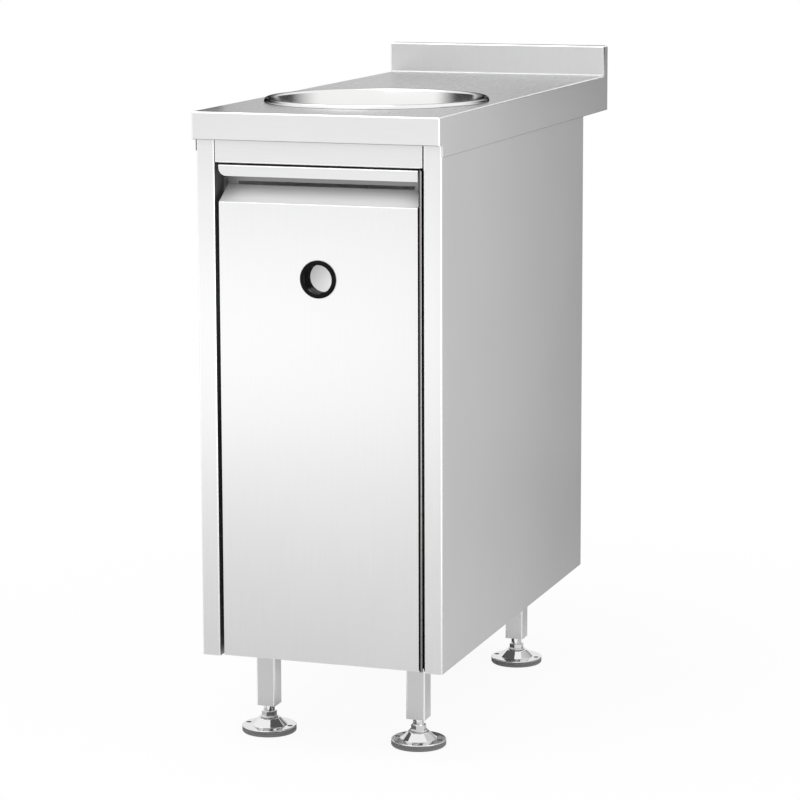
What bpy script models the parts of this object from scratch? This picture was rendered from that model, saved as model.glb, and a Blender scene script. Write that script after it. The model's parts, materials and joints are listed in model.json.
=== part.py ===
"""Stainless steel waste-drop cabinet for a service bar: one module of a bar run.

A folded worktop with an upstand has a round drop hole. Below it stands a sheet-metal
cabinet with a hinged door, on four square legs with screw-adjusted feet.
Metres, +Z up. The origin is on the floor under the middle of the worktop, and the door faces -Y.
"""

import math

import bmesh
import bpy
from mathutils import Matrix, Vector

MM = 0.001

# Worktop and upstand
WORKTOP_WIDTH = 320 * MM
WORKTOP_DEPTH = 760 * MM
WORKTOP_HEIGHT = 800 * MM
WORKTOP_SHEET = 1.2 * MM
WORKTOP_EDGE_RADIUS = 2.0 * MM
FRONT_APRON = 34 * MM
SIDE_APRON = 49 * MM
UPSTAND_HEIGHT = 42 * MM
UPSTAND_DEPTH = 20 * MM

# Drop hole in the worktop
DROP_BORE = 273.6 * MM
DROP_SHEET = 1.2 * MM
DROP_RIM_WIDTH = 5.6 * MM
DROP_RIM_HEIGHT = 5 * MM
DROP_COLLAR = 70 * MM
DROP_TAPER = 5.8 * MM
DROP_FROM_FRONT = 228 * MM
RETAINER_WIDTH = 14.3 * MM
RETAINER_THICKNESS = 2 * MM

# Cabinet
BODY_SHEET = 1.0 * MM
BEND_RADIUS = 1.8 * MM
CABINET_SETBACK = 12 * MM
CABINET_DEPTH = 627 * MM
CABINET_BOTTOM = 115.5 * MM
STILE_WIDTH = 23.5 * MM
STILE_RETURN = 30 * MM
REAR_RETURN = 18 * MM
RAIL_DROP = 63 * MM
RAIL_SHELF = 58 * MM
RAIL_TOP_FLANGE = 25 * MM
RAIL_SEAM = 1.0 * MM
TIE_RAIL_WIDTH = 20 * MM
TIE_RAIL_DROP = 40 * MM
STIFFENER_WIDTH = 24 * MM
STIFFENER_DROP = 20 * MM
FLOOR_RISE = 30.5 * MM
FLOOR_LIP = 28 * MM
FLOOR_BEHIND_DOOR = 2.2 * MM

# Door
DOOR_THICKNESS = 30 * MM
DOOR_GAP_FREE = 5.5 * MM
DOOR_GAP_HINGE = 6.7 * MM
DOOR_GAP_TOP = 2 * MM
DOOR_GAP_BOTTOM = 1.5 * MM
GRIP_STRIP = 14 * MM
GRIP_BACK = 22.5 * MM
GRIP_MOUTH = 32 * MM
GRIP_SLOPE_RISE = 19 * MM
GRIP_CORNER_RADIUS = 10 * MM
GRIP_EAR_WIDTH = 13 * MM
GRIP_EAR_CLEARANCE = 0.8 * MM

# Port in the door
PORT_BORE = 35.8 * MM
PORT_WALL = 1.8 * MM
PORT_FLANGE = 46.8 * MM
PORT_FLANGE_THICKNESS = 2.4 * MM
PORT_FLANGE_EDGE = 1.1 * MM
PORT_FLANGE_TAPER = 1.7 * MM
PORT_MOUTH_DEPTH = 1.0 * MM
PORT_BELOW_RAIL = 139 * MM
PORT_LENGTH = 23.5 * MM
PORT_NUT_WIDTH = 4.5 * MM
PORT_NUT_LENGTH = 3.5 * MM
PORT_NUT_ACCESS = 1.5 * MM

# Continuous hinge
KNUCKLE_RADIUS = 2.8 * MM
HINGE_PIN_RADIUS = 1.2 * MM
HINGE_PIN_CLEARANCE = 0.12 * MM
HINGE_LEAF = 0.8 * MM
HINGE_LEAF_WIDTH = 19 * MM
HINGE_PROUD = 0.5 * MM
KNUCKLE_COUNT = 28
KNUCKLE_GAP = 0.4 * MM
KNUCKLE_NECK_TRIM = 0.05 * MM

# Magnetic catch and bumpers
CATCH_SIZE = Vector((40, 20, 13)) * MM
CATCH_FROM_FREE_EDGE = 14 * MM
CATCH_AIR_GAP = 0.5 * MM
CATCH_SCREW_SPACING = 26 * MM
CATCH_SCREW_RADIUS = 1.6 * MM
CATCH_SCREW_HEAD = 3.0 * MM
CATCH_SCREW_HEAD_HEIGHT = 2.0 * MM
CATCH_SCREW_CROWN = 2.1 * MM
SCREW_END = 2.0 * MM
STRIKE_SIZE = Vector((34, 1.5, 12)) * MM
STRIKE_FROM_TOP = 3 * MM
BUMPER_RADIUS = 5 * MM
BUMPER_INSET = 30 * MM

# Legs and feet
LEG_SIZE = 25 * MM
LEG_WALL = 1.5 * MM
LEG_CORNER_RADIUS = 2.0 * MM
LEG_FROM_SIDE = 57.5 * MM
LEG_FROM_FRONT = 79.4 * MM
LEG_FROM_REAR = 123.6 * MM
LEG_BOTTOM = 35.5 * MM
LEG_PLATE = 60 * MM
LEG_PLATE_THICKNESS = 2 * MM
INSERT_HEIGHT = 22 * MM
SHOULDER_RADIUS = 7 * MM
THREAD_RADIUS = 6 * MM
THREAD_LENGTH = 62 * MM
STEM_CLEARANCE = 0.35 * MM
HEX_ACROSS_FLATS = 17 * MM
HEX_HEIGHT = 6.4 * MM
COLLAR_RADIUS = 11.3 * MM
COLLAR_HEIGHT = 1.8 * MM
SOLE_HEIGHT = 6.8 * MM
FOOT_RADIUS = 34.8 * MM
DISC_EDGE = 1.5 * MM
CONE_FOOT_RADIUS = 23 * MM
CONE_TOP_RADIUS = 13.5 * MM
CONE_HEIGHT = 9.5 * MM
FOOT_HOLE_RADIUS = 3.5 * MM
FOOT_HOLE_CIRCLE = 28.3 * MM

# Pieces that are welded, seated or clipped together lie this far apart
SEAT = 0.3 * MM

# Facets
DROP_STEPS = 48
PORT_STEPS = 32
FOOT_STEPS = 28
STEM_STEPS = 20
KNUCKLE_STEPS = 10
BEND_STEPS = 3
BEAD_STEPS = 6
CORNER_STEPS = 8
OVERCUT = 10 * MM
SMOOTH_ANGLE = math.radians(35)
FOLD_ANGLE = math.radians(25)

# Turns a flat outline so that it lies across the object or stands facing the front
SECTION_ALONG_X = Matrix(((0, 0, 1, 0), (1, 0, 0, 0), (0, 1, 0, 0), (0, 0, 0, 1)))
FACING_FRONT = Matrix.Rotation(math.pi / 2, 4, "X")

# Places worked out from the sizes above
FRONT_EDGE = -WORKTOP_DEPTH / 2
REAR_EDGE = WORKTOP_DEPTH / 2
SIDE = WORKTOP_WIDTH / 2
FRONT = FRONT_EDGE + CABINET_SETBACK
REAR = FRONT + CABINET_DEPTH
CABINET_SIDE = SIDE - WORKTOP_SHEET - SEAT
INNER_SIDE = CABINET_SIDE - BODY_SHEET - SEAT
CABINET_TOP = WORKTOP_HEIGHT - WORKTOP_SHEET - SEAT
OPENING_SIDE = CABINET_SIDE - STILE_WIDTH
RAIL_BOTTOM = WORKTOP_HEIGHT - RAIL_DROP
BACK_PANEL_FRONT = REAR - 2 * BODY_SHEET - SEAT

DROP_RADIUS = DROP_BORE / 2
DROP_OUTER = DROP_RADIUS + DROP_SHEET
DROP_RIM = DROP_OUTER + DROP_RIM_WIDTH
DROP_Y = FRONT_EDGE + DROP_FROM_FRONT

DOOR_LEFT = -OPENING_SIDE + DOOR_GAP_FREE
DOOR_RIGHT = OPENING_SIDE - DOOR_GAP_HINGE
DOOR_BOTTOM = CABINET_BOTTOM + DOOR_GAP_BOTTOM
DOOR_TOP = RAIL_BOTTOM - DOOR_GAP_TOP
GRIP_SLOPE_TOP = DOOR_TOP - GRIP_STRIP - GRIP_MOUTH + GRIP_SLOPE_RISE
GRIP_SLOPE_FOOT = GRIP_SLOPE_TOP - GRIP_SLOPE_RISE
DOOR_BACK = FRONT + DOOR_THICKNESS
DOOR_COVER_BACK = DOOR_BACK + SEAT + BODY_SHEET
PORT_Z = RAIL_BOTTOM - PORT_BELOW_RAIL

HINGE_X = OPENING_SIDE - DOOR_GAP_HINGE / 2
HINGE_Y = FRONT - HINGE_PROUD

FLOOR_TOP = CABINET_BOTTOM + FLOOR_RISE
FLOOR_FRONT = DOOR_COVER_BACK + FLOOR_BEHIND_DOOR
FLOOR_REAR = BACK_PANEL_FRONT - SEAT

LEG_PLATE_TOP = FLOOR_TOP - BODY_SHEET - SEAT
LEG_TOP = LEG_PLATE_TOP - LEG_PLATE_THICKNESS - SEAT
LEG_X = CABINET_SIDE - LEG_FROM_SIDE
LEG_FRONT_Y = FRONT + LEG_FROM_FRONT
LEG_REAR_Y = REAR - LEG_FROM_REAR
LEG_PLACES = {
    "front_left": (-LEG_X, LEG_FRONT_Y),
    "front_right": (LEG_X, LEG_FRONT_Y),
    "rear_left": (-LEG_X, LEG_REAR_Y),
    "rear_right": (LEG_X, LEG_REAR_Y),
}
DOOR_PIECES = (
    "door_outer_skin",
    "door_inner_skin",
    "door_grip_channel",
    "door_port_liner",
    "door_port_nut",
    "hinge_door_leaf",
    "catch_strike",
)
DISC_BOTTOM = SOLE_HEIGHT + SEAT
DISC_TOP = DISC_BOTTOM + DISC_EDGE
CONE_TOP = DISC_TOP + CONE_HEIGHT
COLLAR_BOTTOM = CONE_TOP + SEAT
COLLAR_TOP = COLLAR_BOTTOM + COLLAR_HEIGHT
HEX_TOP = COLLAR_TOP + HEX_HEIGHT


def clear_scene():
    for obj in list(bpy.data.objects):
        bpy.data.objects.remove(obj, do_unlink=True)


def new_collection(name):
    collection = bpy.data.collections.new(name)
    bpy.context.scene.collection.children.link(collection)
    return collection


def new_material(name, colour, roughness, metallic):
    material = bpy.data.materials.new(name)
    material.use_nodes = True
    shader = material.node_tree.nodes["Principled BSDF"]
    shader.inputs["Base Color"].default_value = (*colour, 1.0)
    shader.inputs["Roughness"].default_value = roughness
    shader.inputs["Metallic"].default_value = metallic
    return material


clear_scene()
PARTS = new_collection("service_bar_waste_cabinet")
CUTTERS = new_collection("cutters")
BRUSHED = new_material("brushed_stainless", (0.80, 0.80, 0.79), 0.32, 1.0)
POLISHED = new_material("polished_stainless", (0.88, 0.88, 0.87), 0.08, 1.0)
CHROME = new_material("chromed_steel", (0.83, 0.83, 0.83), 0.10, 1.0)
BLACK = new_material("black_plastic", (0.012, 0.012, 0.012), 0.35, 0.0)
RUBBER = new_material("grey_rubber", (0.10, 0.10, 0.10), 0.75, 0.0)
NYLON = new_material("grey_nylon", (0.30, 0.30, 0.30), 0.50, 0.0)


def mesh_object(name, bm, material):
    """A named part with flat faces and smooth bends."""
    mesh = bpy.data.meshes.new(name)
    bm.to_mesh(mesh)
    bm.free()
    mesh.shade_smooth()
    mesh.set_sharp_from_angle(angle=SMOOTH_ANGLE)
    mesh.materials.append(material)
    obj = bpy.data.objects.new(name, mesh)
    PARTS.objects.link(obj)
    return obj


def make_cutter(obj):
    """Hides a helper shape and keeps it with the other cutters."""
    PARTS.objects.unlink(obj)
    CUTTERS.objects.link(obj)
    obj.hide_render = True
    obj.display_type = "WIRE"
    return obj


def boolean(obj, other, operation="DIFFERENCE"):
    make_cutter(other)
    modifier = obj.modifiers.new(other.name, "BOOLEAN")
    modifier.operation = operation
    modifier.object = other


def box_mesh(low, high):
    low, high = Vector(low), Vector(high)
    bm = bmesh.new()
    bmesh.ops.create_cube(bm, size=1.0)
    bmesh.ops.scale(bm, vec=high - low, verts=bm.verts)
    bmesh.ops.translate(bm, vec=(low + high) / 2, verts=bm.verts)
    return bm


def box(name, low, high, material):
    return mesh_object(name, box_mesh(low, high), material)


def solidify(obj, thickness):
    """Gives an outer surface its sheet thickness, inwards."""
    modifier = obj.modifiers.new("sheet", "SOLIDIFY")
    modifier.thickness = thickness
    modifier.offset = -1.0
    modifier.use_even_offset = True
    return obj


def round_edges(obj, radius, segments=2):
    modifier = obj.modifiers.new("bends", "BEVEL")
    modifier.width = radius
    modifier.segments = segments
    modifier.limit_method = "ANGLE"
    modifier.angle_limit = FOLD_ANGLE
    return obj


def open_box(name, low, high, open_side, edge_radius, thickness, material):
    """A pressed tray: a box with one side left open, rounded edges and a sheet wall."""
    bm = box_mesh(low, high)
    towards = Vector(open_side)
    opened = [face for face in bm.faces if face.normal.dot(towards) > 0.9]
    bmesh.ops.delete(bm, geom=opened, context="FACES_ONLY")
    tray = mesh_object(name, bm, material)
    round_edges(tray, edge_radius)
    return solidify(tray, thickness)


def rounded_path(points, radius):
    """The path's corners replaced by arcs that touch both of their straight runs."""
    path = [Vector(points[0])]
    for before, corner, after in zip(points, points[1:], points[2:]):
        corner = Vector(corner)
        back = (Vector(before) - corner).normalized()
        ahead = (Vector(after) - corner).normalized()
        half = back.angle(ahead) / 2
        centre = corner + (back + ahead).normalized() * radius / math.sin(half)
        start = corner + back * radius / math.tan(half)
        end = corner + ahead * radius / math.tan(half)
        for step in range(BEND_STEPS + 1):
            point = start.lerp(end, step / BEND_STEPS)
            path.append(centre + (point - centre).normalized() * radius)
    path.append(Vector(points[-1]))
    return path


def folded_sheet(name, points, along, start, end, thickness, material):
    """A sheet folded along one direction. points are its outer surface in section,
    as (y, z) for a fold along X or as (x, y) for a fold along Z."""
    bm = bmesh.new()
    verts = []
    for point in rounded_path(points, BEND_RADIUS):
        if along == "X":
            verts.append(bm.verts.new((start, point.x, point.y)))
        else:
            verts.append(bm.verts.new((point.x, point.y, start)))
    edges = [bm.edges.new(pair) for pair in zip(verts, verts[1:])]
    made = bmesh.ops.extrude_edge_only(bm, edges=edges)["geom"]
    travel = Vector((end - start, 0, 0)) if along == "X" else Vector((0, 0, end - start))
    moved = [item for item in made if isinstance(item, bmesh.types.BMVert)]
    bmesh.ops.translate(bm, vec=travel, verts=moved)
    middle = len(bm.faces) // 2
    bm.faces.ensure_lookup_table()
    first = bm.faces[middle]
    outward = outward_of(points, along, first)
    bm.normal_update()
    if first.normal.dot(outward) < 0:
        bmesh.ops.reverse_faces(bm, faces=bm.faces)
    return solidify(mesh_object(name, bm, material), thickness)


def outward_of(points, along, face):
    """The direction from the middle of the folded section to a face of it."""
    middle = sum((Vector(point) for point in points), Vector((0, 0))) / len(points)
    centre = face.calc_center_median()
    if along == "X":
        return centre - Vector((centre.x, middle.x, middle.y))
    return centre - Vector((middle.x, middle.y, centre.z))


def turned(name, profile, place, steps, material, closed=False):
    """A turned piece about a vertical axis through place. profile holds (radius, height)
    and runs down the outer side. It is closed for a ring, and open from axis to axis otherwise."""
    bm = bmesh.new()
    verts = [bm.verts.new((radius, 0, height)) for radius, height in profile]
    for pair in zip(verts, verts[1:]):
        bm.edges.new(pair)
    if closed:
        bm.edges.new((verts[-1], verts[0]))
    obj = mesh_object(name, bm, material)
    obj.location = (*place, 0)
    screw = obj.modifiers.new("turn", "SCREW")
    screw.steps = steps
    screw.render_steps = steps
    screw.use_merge_vertices = True
    screw.merge_threshold = 1e-6
    screw.use_smooth_shade = True
    return obj


def cylinder(name, radius, low, high, place, steps, material):
    """A round bar or a hole's cutter, standing at place from low to high."""
    bm = bmesh.new()
    bmesh.ops.create_cone(
        bm, cap_ends=True, segments=steps, radius1=radius, radius2=radius, depth=high - low
    )
    obj = mesh_object(name, bm, material)
    obj.location = (*place, (low + high) / 2)
    return obj


def outline_solid(name, points, thickness, material, hole=None):
    """A flat outline, with an optional round hole as (radius, steps), of that thickness about z = 0."""
    curve = bpy.data.curves.new(name, "CURVE")
    curve.dimensions = "2D"
    curve.fill_mode = "BOTH"
    curve.extrude = thickness / 2
    loops = [points]
    if hole:
        radius, steps = hole
        turns = [math.tau * step / steps for step in range(steps)]
        loops.append([(radius * math.cos(turn), radius * math.sin(turn)) for turn in turns])
    for loop in loops:
        spline = curve.splines.new("POLY")
        spline.points.add(len(loop) - 1)
        spline.use_cyclic_u = True
        for point, (across, up) in zip(spline.points, loop):
            point.co = (across, up, 0, 1)
    drawn = bpy.data.objects.new(name, curve)
    PARTS.objects.link(drawn)
    bpy.context.view_layer.update()
    graph = bpy.context.evaluated_depsgraph_get()
    mesh = bpy.data.meshes.new_from_object(drawn.evaluated_get(graph))
    bpy.data.objects.remove(drawn)
    bpy.data.curves.remove(curve)
    bm = bmesh.new()
    bm.from_mesh(mesh)
    bpy.data.meshes.remove(mesh)
    bmesh.ops.remove_doubles(bm, verts=bm.verts, dist=1e-6)
    bmesh.ops.recalc_face_normals(bm, faces=bm.faces)
    return mesh_object(name, bm, material)


def section_prism(name, points, half_width, material):
    """A solid with the same (y, z) section all the way across the object."""
    prism = outline_solid(name, points, 2 * half_width, material)
    prism.data.transform(SECTION_ALONG_X)
    return prism


def round_folds(obj, radius, above):
    """Rounds the folds of a solid that reach above a height, and leaves its lower rims sharp."""
    bm = bmesh.new()
    bm.from_mesh(obj.data)
    flat = math.radians(1)
    bmesh.ops.dissolve_limit(bm, angle_limit=flat, verts=bm.verts, edges=bm.edges)
    folds = []
    for edge in bm.edges:
        top = max(vert.co.z for vert in edge.verts)
        if top > above and edge.calc_face_angle() > FOLD_ANGLE:
            folds.append(edge)
    bmesh.ops.bevel(
        bm, geom=folds, offset=radius, segments=BEND_STEPS, profile=0.5, affect="EDGES"
    )
    bm.to_mesh(obj.data)
    bm.free()
    obj.data.set_sharp_from_angle(angle=SMOOTH_ANGLE)


def build_worktop():
    """Worktop folded from one sheet: front and side aprons, and the upstand closed at its ends."""
    upstand_front = REAR_EDGE - UPSTAND_DEPTH
    upstand_top = WORKTOP_HEIGHT + UPSTAND_HEIGHT
    front_low = WORKTOP_HEIGHT - FRONT_APRON
    side_low = WORKTOP_HEIGHT - SIDE_APRON
    sheet = WORKTOP_SHEET
    # The front apron is shallower than the side ones, back to the cabinet's front.
    worktop = section_prism(
        "worktop",
        [
            (FRONT_EDGE, front_low),
            (FRONT_EDGE, WORKTOP_HEIGHT),
            (upstand_front, WORKTOP_HEIGHT),
            (upstand_front, upstand_top),
            (REAR_EDGE, upstand_top),
            (REAR_EDGE, side_low),
            (FRONT, side_low),
            (FRONT, front_low),
        ],
        SIDE,
        BRUSHED,
    )
    round_folds(worktop, WORKTOP_EDGE_RADIUS, front_low + sheet)
    # The apron's lower edge turns back to the cabinet's front.
    return_end = FRONT - SEAT
    hollow = section_prism(
        "worktop_hollow",
        [
            (FRONT_EDGE + sheet, front_low + sheet),
            (FRONT_EDGE + sheet, WORKTOP_HEIGHT - sheet),
            (upstand_front + sheet, WORKTOP_HEIGHT - sheet),
            (upstand_front + sheet, upstand_top - sheet),
            (REAR_EDGE - sheet, upstand_top - sheet),
            (REAR_EDGE - sheet, side_low - OVERCUT),
            (return_end, side_low - OVERCUT),
            (return_end, front_low + sheet),
        ],
        SIDE - sheet,
        BRUSHED,
    )
    boolean(worktop, hollow)
    hole = cylinder(
        "drop_hole",
        DROP_OUTER + SEAT,
        WORKTOP_HEIGHT - OVERCUT,
        WORKTOP_HEIGHT + OVERCUT,
        (0, DROP_Y),
        DROP_STEPS,
        BRUSHED,
    )
    boolean(worktop, hole)


def build_stiffeners():
    """Channels under the worktop, each midway between the drop hole's retainer and a rail."""
    retainer_reach = DROP_OUTER + RETAINER_WIDTH
    rail_back = FRONT + RAIL_TOP_FLANGE
    tie_front = BACK_PANEL_FRONT - SEAT - TIE_RAIL_WIDTH
    middles = {
        "front_stiffener": (rail_back + DROP_Y - retainer_reach) / 2,
        "rear_stiffener": (tie_front + DROP_Y + retainer_reach) / 2,
    }
    for name, middle in middles.items():
        near = middle - STIFFENER_WIDTH / 2
        far = middle + STIFFENER_WIDTH / 2
        folded_sheet(
            name,
            [
                (far, CABINET_TOP - STIFFENER_DROP),
                (far, CABINET_TOP),
                (near, CABINET_TOP),
                (near, CABINET_TOP - STIFFENER_DROP),
            ],
            "X",
            -INNER_SIDE,
            INNER_SIDE,
            BODY_SHEET,
            BRUSHED,
        )


def build_drop():
    """Polished ring with a rolled bead and a tapered collar, and the ring that holds it from below."""
    rim_foot = WORKTOP_HEIGHT + SEAT
    rim_top = WORKTOP_HEIGHT + DROP_RIM_HEIGHT
    bottom = WORKTOP_HEIGHT - DROP_COLLAR
    half_width = (DROP_RIM - DROP_RADIUS) / 2
    crown = DROP_RADIUS + half_width
    bulge = []
    for step in range(BEAD_STEPS + 1):
        turn = math.pi * step / BEAD_STEPS
        height = rim_foot + (rim_top - rim_foot) * math.sin(turn)
        bulge.append((crown - half_width * math.cos(turn), height))
    profile = [
        *bulge[1:],
        (DROP_OUTER, rim_foot),
        (DROP_OUTER - DROP_TAPER, bottom),
        (DROP_RADIUS - DROP_TAPER, bottom),
    ]
    turned("drop_rim", profile, (0, DROP_Y), DROP_STEPS, POLISHED, closed=True)
    inner = DROP_OUTER + SEAT
    outer = DROP_OUTER + RETAINER_WIDTH
    top = CABINET_TOP
    low = top - RETAINER_THICKNESS
    turned(
        "drop_retainer",
        [(inner, top), (outer, top), (outer, low), (inner, low)],
        (0, DROP_Y),
        DROP_STEPS,
        BRUSHED,
        closed=True,
    )


def build_cabinet():
    """Side panels with folded front stiles, back, floor pan, front rail and rear tie."""
    right = [
        (OPENING_SIDE, FRONT + STILE_RETURN),
        (OPENING_SIDE, FRONT),
        (CABINET_SIDE, FRONT),
        (CABINET_SIDE, REAR),
        (CABINET_SIDE - REAR_RETURN, REAR),
    ]
    left = [(-x, y) for x, y in right]
    for name, section in (("right_side_panel", right), ("left_side_panel", left)):
        folded_sheet(name, section, "Z", CABINET_BOTTOM, CABINET_TOP, BODY_SHEET, BRUSHED)
    box(
        "back_panel",
        (-INNER_SIDE, BACK_PANEL_FRONT, CABINET_BOTTOM),
        (INNER_SIDE, BACK_PANEL_FRONT + BODY_SHEET, CABINET_TOP),
        BRUSHED,
    )
    open_box(
        "floor_pan",
        (-INNER_SIDE, FLOOR_FRONT, FLOOR_TOP - FLOOR_LIP),
        (INNER_SIDE, FLOOR_REAR, FLOOR_TOP),
        (0, 0, -1),
        BEND_RADIUS,
        BODY_SHEET,
        BRUSHED,
    )
    rail_side = OPENING_SIDE - RAIL_SEAM
    folded_sheet(
        "top_rail",
        [
            (FRONT + RAIL_TOP_FLANGE, CABINET_TOP),
            (FRONT, CABINET_TOP),
            (FRONT, RAIL_BOTTOM),
            (FRONT + RAIL_SHELF, RAIL_BOTTOM),
        ],
        "X",
        -rail_side,
        rail_side,
        BODY_SHEET,
        BRUSHED,
    )
    tie_back = BACK_PANEL_FRONT - SEAT
    folded_sheet(
        "rear_tie_rail",
        [
            (tie_back, CABINET_TOP - TIE_RAIL_DROP),
            (tie_back, CABINET_TOP),
            (tie_back - TIE_RAIL_WIDTH, CABINET_TOP),
        ],
        "X",
        -INNER_SIDE,
        INNER_SIDE,
        BODY_SHEET,
        BRUSHED,
    )


def build_door():
    """Door pan whose top slopes back for the fingers, its cover, and the grip channel above."""
    section = [
        (FRONT, DOOR_BOTTOM),
        (DOOR_BACK, DOOR_BOTTOM),
        (DOOR_BACK, GRIP_SLOPE_TOP),
        (DOOR_BACK - BODY_SHEET, GRIP_SLOPE_TOP),
        (FRONT, GRIP_SLOPE_FOOT),
    ]
    bm = bmesh.new()
    side = bm.faces.new([bm.verts.new((DOOR_LEFT, y, z)) for y, z in section])
    made = bmesh.ops.extrude_face_region(bm, geom=[side])["geom"]
    moved = [item for item in made if isinstance(item, bmesh.types.BMVert)]
    bmesh.ops.translate(bm, vec=(DOOR_RIGHT - DOOR_LEFT, 0, 0), verts=moved)
    bmesh.ops.recalc_face_normals(bm, faces=bm.faces)
    back = [face for face in bm.faces if face.normal.y > 0.9]
    bmesh.ops.delete(bm, geom=back, context="FACES_ONLY")
    lip = [face for face in bm.faces if face.normal.z > 0.99]
    bmesh.ops.delete(bm, geom=lip, context="FACES_ONLY")
    pan = mesh_object("door_outer_skin", bm, BRUSHED)
    round_edges(pan, BEND_RADIUS)
    solidify(pan, BODY_SHEET)

    inset = BODY_SHEET
    low_left, low_right = DOOR_LEFT + inset, DOOR_RIGHT - inset
    cover_low = DOOR_BOTTOM + inset
    cover_top = GRIP_SLOPE_TOP - GRIP_EAR_CLEARANCE
    ear_top = DOOR_TOP - GRIP_EAR_CLEARANCE
    cover = outline_solid(
        "door_inner_skin",
        [
            (low_left, cover_low),
            (low_right, cover_low),
            (low_right, ear_top),
            (low_right - GRIP_EAR_WIDTH, ear_top),
            (low_right - GRIP_EAR_WIDTH, cover_top),
            (low_left + GRIP_EAR_WIDTH, cover_top),
            (low_left + GRIP_EAR_WIDTH, ear_top),
            (low_left, ear_top),
        ],
        BODY_SHEET,
        BRUSHED,
    )
    cover.data.transform(Matrix.Translation((0, DOOR_COVER_BACK - BODY_SHEET / 2, 0)) @ FACING_FRONT)

    port_hole = PORT_BORE / 2 + PORT_WALL + SEAT
    nut_access = port_hole + PORT_NUT_WIDTH + PORT_NUT_ACCESS
    behind = DOOR_COVER_BACK + OVERCUT
    boolean(pan, lying_cylinder("port_hole", port_hole, FRONT - OVERCUT, FRONT + OVERCUT))
    boolean(cover, lying_cylinder("nut_access", nut_access, DOOR_BACK - OVERCUT, behind))

    channel = folded_sheet(
        "door_grip_channel",
        [
            (DOOR_BACK, DOOR_TOP - GRIP_BACK),
            (DOOR_BACK, DOOR_TOP),
            (FRONT, DOOR_TOP),
            (FRONT, DOOR_TOP - GRIP_STRIP),
        ],
        "X",
        DOOR_LEFT,
        DOOR_RIGHT,
        BODY_SHEET,
        BRUSHED,
    )
    round_strip_corner(channel)


def round_strip_corner(channel):
    """Rounds the free lower corner of the grip's front strip, where a hand slides in."""
    radius = GRIP_CORNER_RADIUS
    centre = Vector((DOOR_LEFT + radius, DOOR_TOP - GRIP_STRIP + radius))
    quarter = math.pi / 2
    turns = [math.pi + quarter * step / CORNER_STEPS for step in range(CORNER_STEPS + 1)]
    arc = [(centre.x + radius * math.cos(t), centre.y + radius * math.sin(t)) for t in turns]
    corner = (DOOR_LEFT - OVERCUT, centre.y)
    below = (centre.x, DOOR_TOP - GRIP_STRIP - OVERCUT)
    cutter = outline_solid(
        "strip_corner",
        [corner, (DOOR_LEFT - OVERCUT, below[1]), below, *reversed(arc)],
        DOOR_THICKNESS,
        BRUSHED,
    )
    cutter.data.transform(Matrix.Translation((0, FRONT, 0)) @ FACING_FRONT)
    boolean(channel, cutter)


def lying_cylinder(name, radius, near, far):
    """A cutter for a round hole through the door at the port."""
    hole = cylinder(name, radius, 0, far - near, (0, 0), PORT_STEPS, BLACK)
    hole.data.transform(FACING_FRONT)
    hole.location = (0, (near + far) / 2, PORT_Z)
    return hole


def build_port():
    """Black liner in the door's front, and the nut that holds it from inside the door."""
    bore = PORT_BORE / 2
    wall = bore + PORT_WALL
    flange = PORT_FLANGE / 2
    lip = PORT_FLANGE_THICKNESS
    length = PORT_LENGTH - SEAT - lip
    # Heights run out of the door, so that a quarter turn lays the axis along the port.
    liner = turned(
        "door_port_liner",
        [
            (bore, SEAT + lip - PORT_MOUTH_DEPTH),
            (bore + PORT_WALL, SEAT + lip),
            (flange - PORT_FLANGE_TAPER, SEAT + lip),
            (flange, SEAT + PORT_FLANGE_EDGE),
            (flange, SEAT),
            (wall, SEAT),
            (wall, -length),
            (bore, -length),
        ],
        (0, 0),
        PORT_STEPS,
        BLACK,
        closed=True,
    )
    inner = wall + SEAT
    outer = inner + PORT_NUT_WIDTH
    near = -BODY_SHEET - SEAT
    far = near - PORT_NUT_LENGTH
    nut = turned(
        "door_port_nut",
        [(inner, near), (outer, near), (outer, far), (inner, far)],
        (0, 0),
        PORT_STEPS,
        BLACK,
        closed=True,
    )
    for piece in (liner, nut):
        piece.rotation_euler = (math.pi / 2, 0, 0)
        piece.location = (0, FRONT, PORT_Z)


def knuckle_outline(side):
    """A knuckle's section about the pin, with its neck running back into the leaf.
    side is -1 for the door's leaf and 1 for the frame's."""
    leaf_out = DOOR_GAP_HINGE / 2 - SEAT
    leaf_in = leaf_out - HINGE_LEAF
    trim = KNUCKLE_NECK_TRIM
    neck_end = leaf_start() + HINGE_LEAF
    meet = math.acos((leaf_in + trim) / KNUCKLE_RADIUS)
    turns = [-(math.tau - meet) * step / KNUCKLE_STEPS for step in range(KNUCKLE_STEPS + 1)]
    ring = [(KNUCKLE_RADIUS * math.cos(turn), KNUCKLE_RADIUS * math.sin(turn)) for turn in turns]
    neck = [(leaf_in + trim, neck_end), (leaf_out - trim, neck_end), (leaf_out - trim, HINGE_LEAF)]
    return [(side * x, y) for x, y in [*ring, *neck]]


def leaf_start():
    """How far behind the pin a leaf's flat begins, clear of the other leaf's knuckles."""
    return KNUCKLE_RADIUS + 2 * SEAT


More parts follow.
